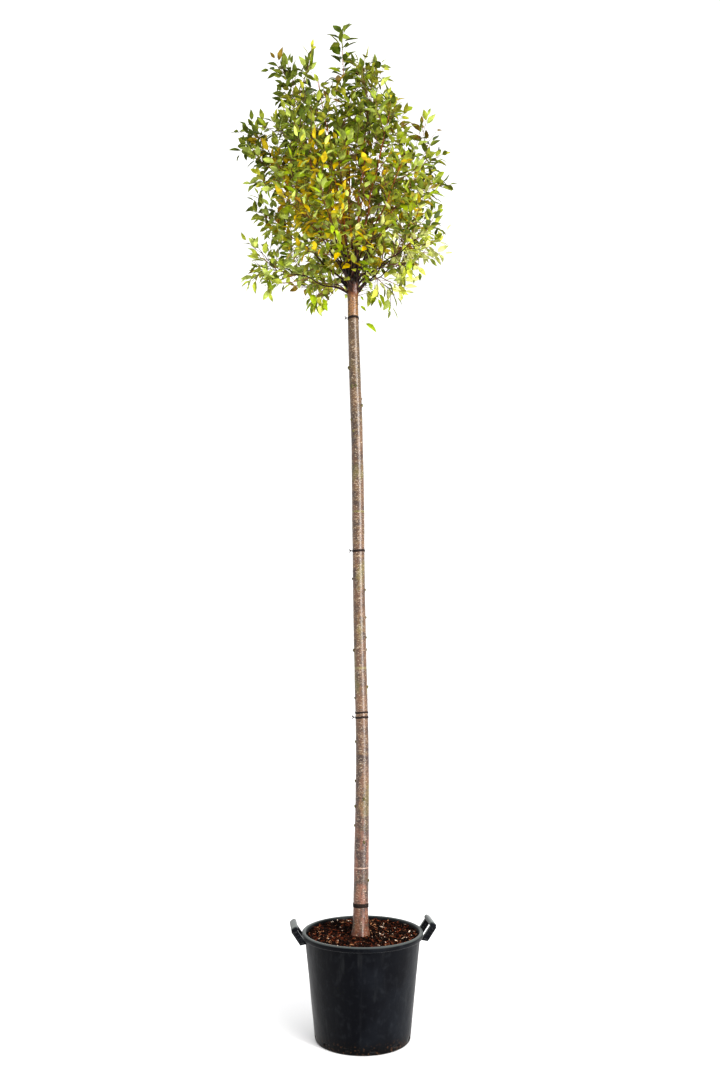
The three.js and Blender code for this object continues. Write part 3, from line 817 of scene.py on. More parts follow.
class Limb(Curve):
    """One limb, from the stem's head to its mass's tip, by the same rule as the solids."""

    def __init__(self, ring, index):
        azimuth = radians(ring["turn"] + 360 * index / ring["count"])
        lift = ring["tilt"] * math.cos(azimuth - radians(ring["tilt_side"]))
        stagger = ring["stagger"] * (-1 if index % 2 else 1) if ring["count"] > 1 else 0
        outward = outward_at(azimuth)
        tip = np.array([ring["centre_x"], 0, ring["height"] + lift + stagger]) + outward * ring["reach"]
        tip[2] -= rounding(ring["height"], tip[1])
        start = trunk_middle(ring["start"]) + outward * ring["foot"]
        far = np.linalg.norm(tip - start)
        middle = (start + tip) / 2 + outward * ring["bow"] * far - UP * ring["bow"] * far * BOW_LIFT
        super().__init__(start, middle, tip)
        self.ring = ring["name"]
        self.name = f"{ring['name']}_{index + 1}" if ring["count"] > 1 else ring["name"]
        self.enter = ring["enter"]
        self.seed = SEED + 100 * RINGS.index(ring) + index
        self.length = far
        self.from_share = self.enter + GAP / far
        steps = range(LINE_STEPS + 1)
        self.bough_points = np.array([self.at(self.enter * i / LINE_STEPS) for i in steps])
        self.stem_points = np.array([self.at(self.on_stem(i / LINE_STEPS)) for i in steps])

    def on_stem(self, share):
        return self.from_share + (1 - self.from_share) * share

    def sway(self, share):
        """How far the limb wanders from its even curve."""
        across, third = frame_round(self.along(share))
        if share < 1 - SWAY_TAIL:
            swing = SWAY * math.sin(math.pi * min(1, share * SWAY_RUN))
        else:
            swing = SWAY * (1 - share) / SWAY_TAIL * SWAY_TAIL_SHARE
        phase = self.seed * SWAY_PHASES[0]
        first = math.sin(share * SWAY_WAVES[0] + phase)
        second = math.sin(share * SWAY_WAVES[1] + phase * SWAY_PHASES[1])
        return across * swing * first + third * swing * second

    def swayed(self, share):
        return self.at(share) + self.sway(share)


limbs = [Limb(ring, index) for ring in RINGS for index in range(ring["count"])]
all_lines = np.array([limb.stem_points for limb in limbs])
all_boughs = np.array([limb.bough_points for limb in limbs])


def distances(points, lines):
    """How far each point is from each line of points."""
    starts, steps = lines[:, :-1], lines[:, 1:] - lines[:, :-1]
    offset = points[:, None, None, :] - starts[None]
    share = np.clip((offset * steps).sum(-1) / (steps * steps).sum(-1), 0, 1)
    return np.linalg.norm(offset - steps * share[..., None], axis=-1).min(-1)


def ragged(place):
    """How far side twigs reach past the crown's even outline at a place, or fall short of it."""
    return OUTLINE_REACH + OUTLINE_RAGGEDNESS * noise.noise(Vector(place) * OUTLINE_GRAIN)


def in_outline(points, margin=0.0):
    height = points[:, 2] + rounding(points[:, 2], points[:, 1])
    around = np.hypot(points[:, 0] - graph(CROWN_MIDDLES, height), points[:, 1])
    return ((around <= graph(CROWN_RADII, height) + margin) & (height >= CROWN_FOOT - margin)).all()


def in_space(points, index):
    """True where every point is nearest its own stem, clear of the boughs and inside the outline."""
    if not in_outline(points) or (distances(points, all_boughs) < BOUGH_CLEAR).any():
        return False
    stems = distances(points, all_lines)
    own = stems[:, index].copy()
    stems[:, index] = np.inf
    return (stems > own[:, None] + SPACE_GAP).all()


def off_direction(along, angle, spiral):
    """A direction that leans off another by angle, at spiral degrees round it."""
    across, third = frame_round(along, steep=0.95)
    turn = radians(spiral)
    across = across * math.cos(turn) + third * math.sin(turn)
    return along * math.cos(radians(angle)) + across * math.sin(radians(angle))


class Twig(Curve):
    """A twig or sprig: a slightly bowed line from foot to tip."""

    def __init__(self, foot, tip, bow=0.04):
        self.length = np.linalg.norm(tip - foot)
        self.tip = tip
        super().__init__(foot, (foot + tip) / 2 - UP * bow * self.length, tip)


def tips(foot, direction, full, lift, parts):
    """Where a side twig would end at each part of its full length."""
    return [foot + direction * full * part + UP * full * part * lift for part in parts]


def twigs_of(index):
    """The limb's side twigs, each the longest that keeps to its space."""
    limb = limbs[index]
    draws = Draws(limb.seed)
    first_turn = draws.between(0, 360)
    found = []
    for i in range(TWIGS):
        share = TWIGS_FROM + TWIGS_OVER * (i + draws.between(0.1, 0.9)) / TWIGS
        full = TWIG_LENGTH * (1 - TWIG_LENGTH_FALL * share) * draws.between(0.85, 1.15)
        whole = limb.on_stem(share)
        foot = limb.at(whole)
        angle = TWIG_ANGLE - TWIG_ANGLE_FALL * share
        direction = off_direction(limb.along(whole), angle, first_turn + TWIG_SPIRAL * i)
        for tip in tips(foot, direction, full, TWIG_LIFT, TWIG_TRIES):
            points = np.array([foot + (tip - foot) * step / 6 for step in range(1, 7)])
            if in_space(points, index):
                sway = limb.sway(whole)
                found.append(Twig(foot + sway, tip + sway * 0.3))
                break
    return found


# Crown: leaves

# deep, bright, lime and yellow leaves also serve as painted shade and painted light, by where tint_weights
# deals them
# upper side, under side
TINTS = {
    "deep": (srgb(64, 78, 8), srgb(96, 106, 42)),
    "mid": (srgb(108, 120, 12), srgb(144, 152, 60)),
    "olive": (srgb(126, 129, 8), srgb(150, 150, 54)),
    "bronze": (srgb(98, 78, 6), srgb(124, 104, 42)),
    "bright": (srgb(126, 144, 24), srgb(160, 172, 88)),
    "lime": (srgb(164, 170, 64), srgb(196, 200, 124)),
    "gold": (srgb(172, 146, 0), srgb(182, 160, 36)),
    "yellow": (srgb(156, 142, 20), srgb(176, 162, 70)),
    "amber": (srgb(170, 114, 2), srgb(172, 130, 40)),
}

# share of the blade's length, share of its half width there
LEAF_OUTLINE = ((0.0, 0.0), (0.16, 0.66), (0.42, 1.0), (0.72, 0.62), (1.0, 0.0))
# corners: 0 root, 1-3 left edge, 4 tip, 5-7 right edge from the tip down, 8-10 spine
LEAF_FACES = [
    (0, 8, 1), (1, 8, 9, 2), (2, 9, 10, 3), (3, 10, 4), (0, 7, 8), (7, 6, 9, 8), (6, 5, 10, 9), (5, 4, 10),
]
LEAF_THICKNESS = 0.0006
# between which shares a blade is folded along its spine, arched and twisted
LEAF_FOLDS, LEAF_ARCHES, LEAF_TWISTS = (0.10, 0.42), (0.04, 0.28), (-0.12, 0.12)
STALK_SIZES = (0.7, 1.3)
STALK_RADII = (0.0006, 0.0005, 0.0004)
STALK_SIDES = 3


class Foliage:
    """Deals the leaves out to a piece of each tint."""

    def __init__(self):
        self.shapes = {tint: Shape() for tint in TINTS}
        self.stalks = Shape()
        self.taken = {}

    def free(self, place):
        """True where no leaf has its middle very near, and then this one has."""
        cell = tuple(int(math.floor(value / LEAF_APART)) for value in place)
        steps = (-1, 0, 1)
        for beside in ((cell[0] + x, cell[1] + y, cell[2] + z) for x in steps for y in steps for z in steps):
            near = self.taken.get(beside)
            if near is not None and np.linalg.norm(near - place) < LEAF_APART:
                return False
        self.taken[cell] = place
        return True

    def add(self, tint, foot, direction, facing, length, width, draws):
        """A leaf on its stalk: a folded, arched blade with an upper and an under side."""
        sideways = np.cross(facing, direction)
        stalk = STALK_LENGTH * draws.between(*STALK_SIZES)
        root = foot + direction * stalk - UP * stalk * 0.1
        fold, arch, twist = (draws.between(*shares) for shares in (LEAF_FOLDS, LEAF_ARCHES, LEAF_TWISTS))
        middles, lefts, rights = [], [], []
        for s, half in LEAF_OUTLINE:
            drop = arch * length * s * s
            ahead = direction * length * (s - 0.35 * arch * s * s)
            centre = root + ahead - facing * drop + sideways * twist * length * s * s
            reach = half * width / 2
            rise = facing * fold * reach
            middles.append(centre)
            lefts.append(centre + sideways * reach + rise)
            rights.append(centre - sideways * reach + rise)
        edges = [middles[0], *lefts[1:4], middles[4], *rights[3:0:-1]]
        spine = middles[1:4]
        lower = [point - facing * LEAF_THICKNESS for point in spine]
        self.shapes[tint].add([*edges, *spine], LEAF_FACES, 0)
        self.shapes[tint].add([*edges, *lower], [tuple(reversed(face)) for face in LEAF_FACES], 1)
        line = [foot, foot + direction * stalk * 0.5 + UP * 0.0006, root + direction * 0.004]
        add_tube(self.stalks, line, STALK_RADII, STALK_SIDES)


CROWN_TOP = 3.72
CROWN_HALF_WIDTH = 0.42
LEAST_RADIUS = 0.05
FRONT_DEPTH = 0.15
# the camera looks up, so it sees a place this share of the crown's height higher for each metre nearer
VIEW_SLOPE = 0.45


def depth_inside(place):
    """0 on the crown's axis, 1 on its outline."""
    off = math.hypot(place[0] - graph(CROWN_MIDDLES, place[2]), place[1])
    return off / max(LEAST_RADIUS, graph(CROWN_RADII, place[2]))


def tint_weights(place):
    """How likely a spray is to have each tint, by where it is in the crown; the tints also stand in for
    painted light and painted shade there.
    """
    around = depth_inside(place)
    rise = (place[2] - CROWN_FOOT) / (CROWN_TOP - CROWN_FOOT)
    right = (place[0] - graph(CROWN_MIDDLES, place[2])) / CROWN_HALF_WIDTH
    to_right = max(0.0, right)
    seen = rise - VIEW_SLOPE * place[1]
    front = min(1.0, max(0.0, -place[1]) / FRONT_DEPTH)
    inner = fall(around, 0.95)
    low = fall(rise, 0.62)
    # the leaves turn first inside the crown and in the middle of its front
    turning = max(1 - around / 0.8, front * (1 - abs(right + 0.06) / 0.62), 0.0) * peak(seen, 0.35, 0.25)
    # painted shade: darker tints at the sides and at the upper left
    painted_upper_left_shade = over(rise, 0.45) * max(0.0, 0.3 - right)
    shade = 0.5 * (1 - low) * (2 * abs(right) + max(0.0, -right))
    shade += 1.1 * to_right * peak(seen, 0.42, 0.25)
    shade += 11.0 * painted_upper_left_shade
    # painted light: lighter tints low in the middle of the front
    painted_front_light = front * peak(right, 0, 0.75) * peak(seen, 0.27, 0.34)
    # deep leaves go where the painted shade is; bright ones go where the painted light is, low down and
    # inside the crown; lime and yellow ones low on the right are painted light
    return {
        "deep": (0.4 + 2.6 * over(rise, 0.40) + shade) * (1 - 0.6 * inner) * (1 - 0.7 * painted_front_light),
        "mid": (1.1 + 0.4 * abs(right)) * (1 - 0.7 * painted_front_light) * (1 - painted_upper_left_shade),
        "olive": 0.2 + 1.5 * over(rise, 0.35) * (1 + right) + 0.7 * inner,
        "bronze": 0.02 + 0.9 * over(rise, 0.45) * over(right, -0.3),
        "bright": 0.5 * max(0.1, 1 - 1.3 * rise) + 1.3 * low * around + 0.8 * inner + 3.0 * painted_front_light,
        "lime": 8.0 * fall(rise, 0.32) * over(right, -0.15) + 0.3 * inner * low,
        "gold": 3.8 * turning,
        "yellow": 0.5 * turning + 0.3 * low * to_right,
        "amber": 0.55 * turning * fall(over(seen, 0.35), 0.15),
    }


def tint_at(place, draws):
    weights = {tint: max(0.0, weight) for tint, weight in tint_weights(place).items()}
    pick = draws.next() * sum(weights.values())
    for tint, weight in weights.items():
        pick -= weight
        if pick <= 0:
            return tint
    return "mid"


def in_sky_gap(place):
    level = place[2] + rounding(place[2], place[1])
    return any(abs(place[0] - x) < wide and abs(level - z) < tall for x, z, wide, tall in SKY_GAPS)


def bare_share(place):
    """How many of the leaves have dropped at a place."""
    if in_sky_gap(place):
        return 1.0
    share = INSIDE_BARE * fall(depth_inside(place), INSIDE)
    if place[1] < 0:
        off = max(abs(place[2 * i] - WINDOW_MIDDLE[i]) / WINDOW_HALF_SIZE[i] for i in (0, 1))
        share = max(share, WINDOW_BARE * min(1.0, WINDOW_EDGE * max(0.0, 1 - off)))
    return share


TIP_LEAF_ANGLE = 14
YOUNG_LEAVES = 2
YOUNG_LEAF_ANGLES = (28, 48)
LEAF_ANGLES = (38, 66)
LEAF_STRAY = 18
LEAF_DROPS = (-0.15, 0.5)
LEAF_LEANS = ((-0.7, 0.7), (-0.7, 0.7), (-0.2, 0.4))
# how much a leaf faces along its twig, out of the crown and up
LEAF_FACING = (0.35, 0.45, 0.65)
LEAF_SIZES = (0.72, 1.18)
TIP_LEAF_SIZE = 0.8
LEAF_WIDTHS = (0.88, 1.12)
LEAF_MIDDLE = 0.6
LEAST_LEAVES = 3
# where on its twig the tint of a twig's leaves is chosen
TINT_SHARE = 0.7


def leaf_angle(i, draws):
    """How far the leaf at place i from the tip leans off its twig: the nearer the tip, the less."""
    if i == 0:
        return TIP_LEAF_ANGLE
    return draws.between(*(LEAF_ANGLES if i > YOUNG_LEAVES else YOUNG_LEAF_ANGLES))


def add_leaves(crown, line, start, spacing, draws, size=1.0, droop=0.0, reach=LEAF_REACH):
    """Leaves in a spiral along a line, from its tip down to the share start."""
    tint = tint_at(line.at(TINT_SHARE), draws)
    count = max(LEAST_LEAVES, int(line.length * (1 - start) / spacing))
    turn = draws.between(0, 360)
    for i in range(count):
        share = 1 - (1 - start) * i / count
        along = line.along(share)
        angle = leaf_angle(i, draws)
        stray = draws.between(-LEAF_STRAY, LEAF_STRAY)
        direction = off_direction(along, angle, turn + LEAF_SPIRAL * i + stray)
        direction = unit(direction - UP * (draws.between(*LEAF_DROPS) + droop))
        foot = line.at(share)
        outward = foot - np.array([graph(CROWN_MIDDLES, foot[2]), 0, foot[2]])
        outward = outward / max(LEAST_RADIUS, np.linalg.norm(outward))
        lean = np.array([draws.between(*limits) for limits in LEAF_LEANS])
        ahead, out, up = LEAF_FACING
        facing = squared(along * ahead + outward * out + UP * up + lean, direction)
        length = LEAF_LENGTH * (draws.between(*LEAF_SIZES) * size * (1 if i else TIP_LEAF_SIZE))
        width = length * LEAF_WIDTH * draws.between(*LEAF_WIDTHS)
        own = tint if draws.next() > ODD_LEAVES else tint_at(foot, draws)
        ends = np.array([foot + direction * length * LEAF_MIDDLE, foot + direction * (length + STALK_LENGTH)])
        bare = draws.next() < bare_share(ends[0])
        if bare or not in_outline(ends, reach) or (distances(ends, all_boughs) < LEAF_CLEAR).any():
            continue
        if crown.foliage.free(ends[0]):
            crown.foliage.add(own, foot, direction, facing, length, width, draws)


# Crown: finer twigs


class Crown:
    """The shapes that the crown's growth goes into."""

    def __init__(self):
        self.boughs = Shape()
        self.twigs = Shape()
        self.foliage = Foliage()

    def draw(self, kind, twig):
        steps, foot_radius, tip_radius, sides = GROWTH[kind]
        add_tube(self.twigs, twig.points(steps), np.linspace(foot_radius, tip_radius, steps), sides)

    def dress_sprig(self, sprig, draws, reach=LEAF_REACH):
        self.draw("sprig", sprig)
        add_leaves(self, sprig, SPRIG_LEAVES_FROM, LEAF_SPACING, draws, SPRIG_LEAF_SIZE, reach=reach)

    def make_pieces(self):
        boughs = ["bough_" + limb.name for limb in limbs]
        masses = ["foliage_" + limb.name for limb in limbs]
        bark = twig_finish("twig_bark", srgb(62, 32, 20), srgb(116, 72, 42))
        stalk = twig_finish("leaf_stalk", srgb(128, 82, 44), srgb(138, 128, 60))
        self.boughs.piece("boughs_bark", [bough_finish()], "young_bark", boughs)
        self.twigs.piece("twigs", [bark], "young_bark")
        self.foliage.stalks.piece("leaf_stalks", [stalk], "foliage", masses)
        for tint, (upper, under) in TINTS.items():
            materials = [leaf_finish("leaf_" + tint, upper), leaf_finish("leaf_under_" + tint, under, True)]
            self.foliage.shapes[tint].piece("leaves_" + tint, materials, "foliage", masses)


class StemLine:
    """A stretch of a limb, as a line to grow from."""

    def __init__(self, limb, start, end):
        self.limb, self.start, self.end = limb, start, end
        self.length = limb.length * (end - start)

    def whole(self, share):
        return self.start + (self.end - self.start) * share

    def at(self, share):
        return self.limb.swayed(self.whole(share))

    def along(self, share):
        return self.limb.along(self.whole(share))


def add_sprigs(crown, line, start, end, spacing, draws):
    """Second side twigs, each with its own spray of leaves."""
    denser = graph(SPRIG_DENSITY, line.at(0.5)[2])
    count = max(1, int(line.length * (end - start) / spacing * denser))
    turn = draws.between(0, 360)
    for i in range(count):
        share = start + (end - start) * (i + draws.between(0.2, 0.8)) / count
        foot = line.at(share)
        angle = SPRIG_ANGLE + draws.between(-12, 12)
        direction = off_direction(line.along(share), angle, turn + TWIG_SPIRAL * i)
        full = SPRIG_LENGTH * draws.between(0.6, 1.35)
        for tip in tips(foot, direction, full, SPRIG_LIFT, SPRIG_TRIES):
            points = np.array([foot + (tip - foot) * 0.6, tip])
            kept = bare_share(tip) < 1 and in_outline(points, ragged(tip))
            if kept and (distances(points, all_boughs) > SPRIG_CLEAR).all():
                sprig = Twig(foot, tip, SPRIG_BOW)
                crown.dress_sprig(sprig, draws)
                break


def add_leader(crown, foot, along, draws):
    """The newest growth at the end of a limb or twig, which turns upright."""
    length = draws.between(*LEADER_LENGTHS)
    leader = Twig(foot, foot + unit(along + UP * LEADER_RISE) * LEADER_LENGTH * length, LEADER_BOW)
    if bare_share(leader.tip) < 1 and in_outline(np.array([leader.tip]), ragged(leader.tip)):
        crown.draw("leader", leader)
        add_leaves(crown, leader, 0, YOUNG_SPACING, draws)


def dress_leader(crown, limb, draws):
    """The upright end of the crown's top limb, with leaves in a close spiral."""
    tip = limb.swayed(1)
    end = tip + UP * TOP_LEADER
    radii = [TWIG_FOOT_RADIUS, TWIG_FOOT_RADIUS * 0.8, TWIG_TIP_RADIUS]
    add_tube(crown.twigs, [tip, (tip + end) / 2, end], radii, 5)
    for i in range(int(LEADER_DRESSED / LEADER_LEAF_SPACING)):
        down = LEADER_LEAF_SPACING * i
        foot = limb.swayed(1 - over(down, TOP_LEADER) / limb.length) + UP * over(TOP_LEADER, down)
        angle = radians(LEAF_SPIRAL * i + draws.between(-25, 25))
        rise = draws.between(0.1, 0.9) + (0.8 if i < 3 else 0)
        direction = unit(np.array([math.cos(angle), 0.6 * math.sin(angle), rise]))
        facing = squared(np.array([draws.between(-0.6, 0.6), draws.between(-1.0, 0.2), 0.5]), direction)
        length = LEAF_LENGTH * draws.between(1.0, 1.35)
        tint = "deep" if i % 3 else "mid"
        crown.foliage.add(tint, foot, direction, facing, length, length * LEADER_LEAF_WIDTH, draws)


def add_hanging(crown, limb, draws):
    """Thin twigs that hang from a low limb, with a few leaves each."""
    count, first, last = HANGING[limb.name]
    for _ in range(count):
        share = draws.between(first, last)
        foot = limb.swayed(share)
        astray = np.array([draws.between(-0.5, 0.5), draws.between(-0.5, 0.5), 0])
        direction = unit(limb.along(share) * 0.5 - UP + astray)
        twig = Twig(foot, foot + direction * draws.between(*HANGING_LENGTHS), SPRIG_BOW)
        crown.draw("sprig", twig)
        add_leaves(crown, twig, 0.3, LEAF_SPACING * 1.5, draws, droop=DROOP, reach=HANGING_REACH)


REACH_SEED = SEED + 103
REACH_BOW = -0.05
REACH_SPRIGS = (0.4, 0.6, 0.8)


def add_reaching(crown):
    """Single sprays at given places, each on a twig from the nearest limb."""
    draws = Draws(REACH_SEED)
    feet = [limb.swayed(share) for limb in limbs for share in np.linspace(0.3, 0.97, 30)]
    for place in REACHES:
        end = np.array(place)
        foot = min(feet, key=lambda point: np.linalg.norm(end - point) + over(point[2], end[2]))
        twig = Twig(foot, end - unit(end - foot) * LEAF_LENGTH * 0.8, REACH_BOW)
        crown.draw("twig", twig)
        add_leaves(crown, twig, 0.2, LEAF_SPACING, draws, reach=REACH_MARGIN)
        turn = draws.between(0, 360)
        for i, share in enumerate(REACH_SPRIGS):
            direction = off_direction(twig.along(share), SPRIG_ANGLE, turn + TWIG_SPIRAL * i)
            foot = twig.at(share)
            sprig = Twig(foot, foot + direction * SPRIG_LENGTH * draws.between(0.6, 1.0), SPRIG_BOW)
            crown.dress_sprig(sprig, draws, REACH_MARGIN)


STUB_SEED = SEED + 51
STUBS = 13
STUB_HEIGHTS = (2.655, 2.735)
STUB_LENGTHS = (0.028, 0.058)
STUB_RADII = (0.0045, 0.0068)
STUB_SUNK = 0.006
STUB_BEND = 0.004
STUB_SWELLS = (1.2, 1.0, 0.9, 0.95, 1.1, 0.7)


def add_stubs(crown):
    """Short ends of cut wood, close round the stem's head."""
    draws = Draws(STUB_SEED)
    for i in range(STUBS):
        outward = outward_at(radians(TWIG_SPIRAL * i + draws.between(-20, 20)))
        foot = on_trunk(draws.between(*STUB_HEIGHTS), outward, STUB_SUNK)
        end = foot + unit(outward + UP * draws.between(0.5, 1.6)) * draws.between(*STUB_LENGTHS)
        thick = draws.between(*STUB_RADII)
        shares = np.linspace(0, 1, len(STUB_SWELLS))
        line = [foot + (end - foot) * t + UP * STUB_BEND * math.sin(3 * t + i) for t in shares]
        add_tube(crown.boughs, line, [thick * swell for swell in STUB_SWELLS], LIMB_SIDES)


SHOOT_SEED = SEED + 77
HEAD_SHOOTS = 34
HEAD_LOW = 2.63
HEAD_TALL = 0.16
SHOOT_LENGTHS = (0.035, 0.085)
SHOOT_BOW = -0.05
SHOOT_LEAVES_FROM = 0.35
SHOOT_LEAF_SIZE = 0.9


def add_head_shoots(crown):
    """Short leafy shoots all round the stem's head."""
    draws = Draws(SHOOT_SEED)
    for i in range(HEAD_SHOOTS):
        share = (i + draws.between(0.2, 0.8)) / HEAD_SHOOTS
        height = HEAD_LOW + HEAD_TALL * share
        outward = outward_at(radians(TWIG_SPIRAL * i + draws.between(-15, 15)))
        foot = on_trunk(height, outward, 0.002)
        reach = draws.between(*SHOOT_LENGTHS) * (0.8 + 0.5 * share)
        rise = draws.between(0.1, 0.9)
        shoot = Twig(foot, foot + outward * reach + UP * reach * rise, SHOOT_BOW)
        crown.draw("shoot", shoot)
        add_leaves(crown, shoot, SHOOT_LEAVES_FROM, YOUNG_SPACING, draws, SHOOT_LEAF_SIZE, droop=DROOP)
    return draws


# height, turn in degrees to the right of the front, length, rise and leaf size of each shoot on the stem
STEM_SHOOTS = [(2.532, 78, 0.018, 0.05, 1.15), (2.598, 60, 0.008, -0.2, 0.7), (2.640, 55, 0.012, -0.6, 0.5)]
STEM_SHOOT_RADII = (0.0009, 0.0007, 0.0006)
STEM_LEAF_WIDTH = 0.42
STEM_LEAF_FACING = (0.25, -0.85, 0.45)


def add_stem_shoots(crown, draws):
    """Single leaves on the stem, under its head."""
    for height, turn, reach, rise, size in STEM_SHOOTS:
        outward = outward_at(radians(turn - 90))
        foot = on_trunk(height, outward, 0.001)
        direction = unit(outward + UP * rise)
        blade = unit(direction - UP * 0.7)
        facing = squared(np.array(STEM_LEAF_FACING), blade)
        tip = foot + direction * reach
        add_tube(crown.twigs, [foot, foot + direction * reach * 0.5, tip], STEM_SHOOT_RADII, 5)
        length = LEAF_LENGTH * size
        crown.foliage.add("bright", tip, blade, facing, length, length * STEM_LEAF_WIDTH, draws)


LIMB_SEED = 9000
TWIG_LEAVES_FROM = 0.3
TWIG_SPRIGS = (0.28, 0.9)
STEM_LEAVES_FROM = 0.2
STEM_LEAF_SPACING = LEAF_SPACING * 1.15
STEM_SPRIGS = (0.06, 0.97)
LOW_STRETCH = 0.04


def grow(crown, index):
    """A limb, its twigs and everything on them."""
    limb = limbs[index]
    shares = [i / LIMB_STEPS for i in range(LIMB_STEPS + 1)]
    radii = [graph(LIMB_RADII, share) for share in shares]
    add_tube(crown.boughs, [limb.swayed(share) for share in shares], radii, LIMB_SIDES)
    draws = Draws(limb.seed + LIMB_SEED)
    for twig in twigs_of(index):
        if bare_share(twig.tip) == 1:
            continue
        crown.draw("twig", twig)
        add_leaves(crown, twig, TWIG_LEAVES_FROM, LEAF_SPACING, draws)
        add_sprigs(crown, twig, *TWIG_SPRIGS, SPRIG_SPACING, draws)
        add_leader(crown, twig.tip, twig.along(1), draws)
    stem = StemLine(limb, limb.from_share, LEADER_FROM if limb.ring == "top" else 1.0)
    add_leaves(crown, stem, STEM_LEAVES_FROM, STEM_LEAF_SPACING, draws)
    add_sprigs(crown, stem, *STEM_SPRIGS, STEM_SPRIG_SPACING, draws)
    low = StemLine(limb, BARE_SHARE, limb.enter + LOW_STRETCH)
    add_sprigs(crown, low, 0, 1, STEM_SPRIG_SPACING, draws)
    if limb.ring == "top":
        dress_leader(crown, limb, draws)
    else:
        add_leader(crown, limb.swayed(1), limb.along(1), draws)
    if limb.name in HANGING:
        add_hanging(crown, limb, draws)


def make_crown():
    crown = Crown()
    for index in range(len(limbs)):
        grow(crown, index)
    add_stem_shoots(crown, add_head_shoots(crown))
    add_reaching(crown)
    add_stubs(crown)
    crown.make_pieces()


# Container

POT_SIDES = 160
FLOOR_TOP = 0.005
NOTCHES = 12
NOTCH_TURN = 12
NOTCH_WIDTH = 0.022
NOTCH_DEPTH = 0.006
NOTCH_EDGE = 0.004
NOTCH_LOW = 0.0108
NOTCH_HIGH = 0.0212
FOOT_POINTS = 5
INNER_POINTS = 16
ROUND_TO = 0.05
# depth of each unevenness of the moulded wall, and how fine it is around and upwards
POT_WAVES = ((0.0009, 2.6, 7), (0.0003, 9, 22))


def pot_wall_radius(height):
    tall = POT_HEIGHT - RIM_DEPTH - FLOOR_TOP
    return POT_BASE_RADIUS + (POT_TOP_RADIUS - POT_BASE_RADIUS) * (height - FLOOR_TOP) / tall


def pot_profile():
    """Radius and height, up the outside, over the rim, down the inside and across the floor."""
    rim_foot = POT_HEIGHT - RIM_DEPTH
    foot = [
        (0.0, 0.0), (0.152, 0.0), (POT_BASE_RADIUS - 0.005, 0.0), (POT_BASE_RADIUS - 0.0022, 0.0014),
        (POT_BASE_RADIUS - 0.0006, 0.0034),
    ]
    low = (0.006, 0.009, 0.0105, 0.012, 0.020, 0.0215, 0.024, 0.030)
    outside = [(pot_wall_radius(z), z) for z in (*low, *np.linspace(0.045, rim_foot - 0.008, 22))]
    rim = [
        (POT_TOP_RADIUS + 0.0002, rim_foot - 0.002), (POT_TOP_RADIUS + 0.0012, rim_foot),
        (RIM_RADIUS - 0.0036, rim_foot + 0.0004), (RIM_RADIUS - 0.0012, rim_foot + 0.0014),
        (RIM_RADIUS, rim_foot + 0.0035), (RIM_RADIUS, POT_HEIGHT - 0.0055),
        (RIM_RADIUS - 0.0008, POT_HEIGHT - 0.0028), (RIM_RADIUS - 0.0026, POT_HEIGHT - 0.0010),
        (RIM_RADIUS - 0.0052, POT_HEIGHT - 0.0002),
        (POT_TOP_RADIUS + 0.0012, POT_HEIGHT), (POT_TOP_RADIUS - 0.0016, POT_HEIGHT - 0.0008),
        (POT_TOP_RADIUS - 0.0032, POT_HEIGHT - 0.0030),
    ]
    inside = [(pot_wall_radius(z) - POT_WALL, z) for z in np.linspace(rim_foot - 0.004, 0.006, 14)]
    return foot + outside + rim + inside + [(0.0, FLOOR_TOP)]


def in_notch(angle, height):
    """How deep a drain notch goes at a place low on the wall, from 0 to 1."""
    if not NOTCH_LOW < height < NOTCH_HIGH:
        return 0.0
    spacing = 2 * math.pi / NOTCHES
    off = abs((angle - radians(NOTCH_TURN) + spacing / 2) % spacing - spacing / 2) * POT_BASE_RADIUS
    return clamp((NOTCH_WIDTH / 2 - off) / NOTCH_EDGE)


def make_pot():
    shape = Shape()
    profile = pot_profile()
    n = len(profile)
    points = []
    for angle in turns(POT_SIDES):
        x, y = math.cos(angle), math.sin(angle)
        for index, (radius, height) in enumerate(profile):
            if FOOT_POINTS <= index < n - INNER_POINTS:
                # the moulded wall isn't quite round, but its foot is
                away = min(1.0, height / ROUND_TO)
                radius -= NOTCH_DEPTH * in_notch(angle, height)
                for depth, across, up in POT_WAVES:
                    radius += away * depth * lumps(x, y, height, across, up)
            points.append((x * radius, y * radius, height))
    faces = []
    for s in range(POT_SIDES):
        here, after = s * n, (s + 1) % POT_SIDES * n
        faces.append((here, after + 1, here + 1))
        faces += [(here + i, after + i, after + i + 1, here + i + 1) for i in range(1, n - 2)]
        faces.append((here + n - 2, after + n - 2, here + n - 1))
    shape.add(points, faces)
    weld(shape.piece("pot_moulded", [plastic_finish("pot_plastic")], "container", ["pot"]))


# outlines of an arm's web and flanges: along the arm, across it
ARM_WEB = ((-0.011, 0.0060), (0.043, 0.0060), (0.043, -0.0060), (-0.016, -0.0100))
ARM_FLANGES = (
    ((-0.011, 0.0100), (0.043, 0.0100), (0.043, 0.0062), (-0.011, 0.0062)),
    ((-0.018, -0.0066), (0.043, -0.0066), (0.043, -0.0100), (-0.020, -0.0105)),
    ((-0.011, 0.0100), (-0.0065, 0.0080), (-0.0120, -0.0100), (-0.020, -0.0105)),
)
ARM_RIBS = (0.006, 0.018, 0.030)
RIB_THICKNESS = 0.0022
RIB_HALF_DEPTH = 0.0085
# half width, rounding off and chamfer of each kind of plate
WEB = (0.0045, 0.0006, 0.001)
FLANGE = (0.007, 0.0008, 0.0008)
RIB = (0.0062, 0.0005, 0.0005)
GRIP_HALF_WIDTH = HANDLE_WIDTH / 2 + 0.001
GRIP_ROUNDING = 0.004
GRIP_POINTS = 16
GRIP_HALF_SIZE = (0.0085, 0.012)
GRIP_SHIFT = -0.004


def handle_corner(along, across):
    """A place in the plane of X and Z, from its distance along a handle's slope and across it."""
    slope = radians(HANDLE_SLOPE)
    return np.array([
        RIM_RADIUS + HANDLE_OFFSET + along * math.cos(slope) + across * math.sin(slope),
        POT_HEIGHT - HANDLE_DROP + along * math.sin(slope) - across * math.cos(slope),
    ])


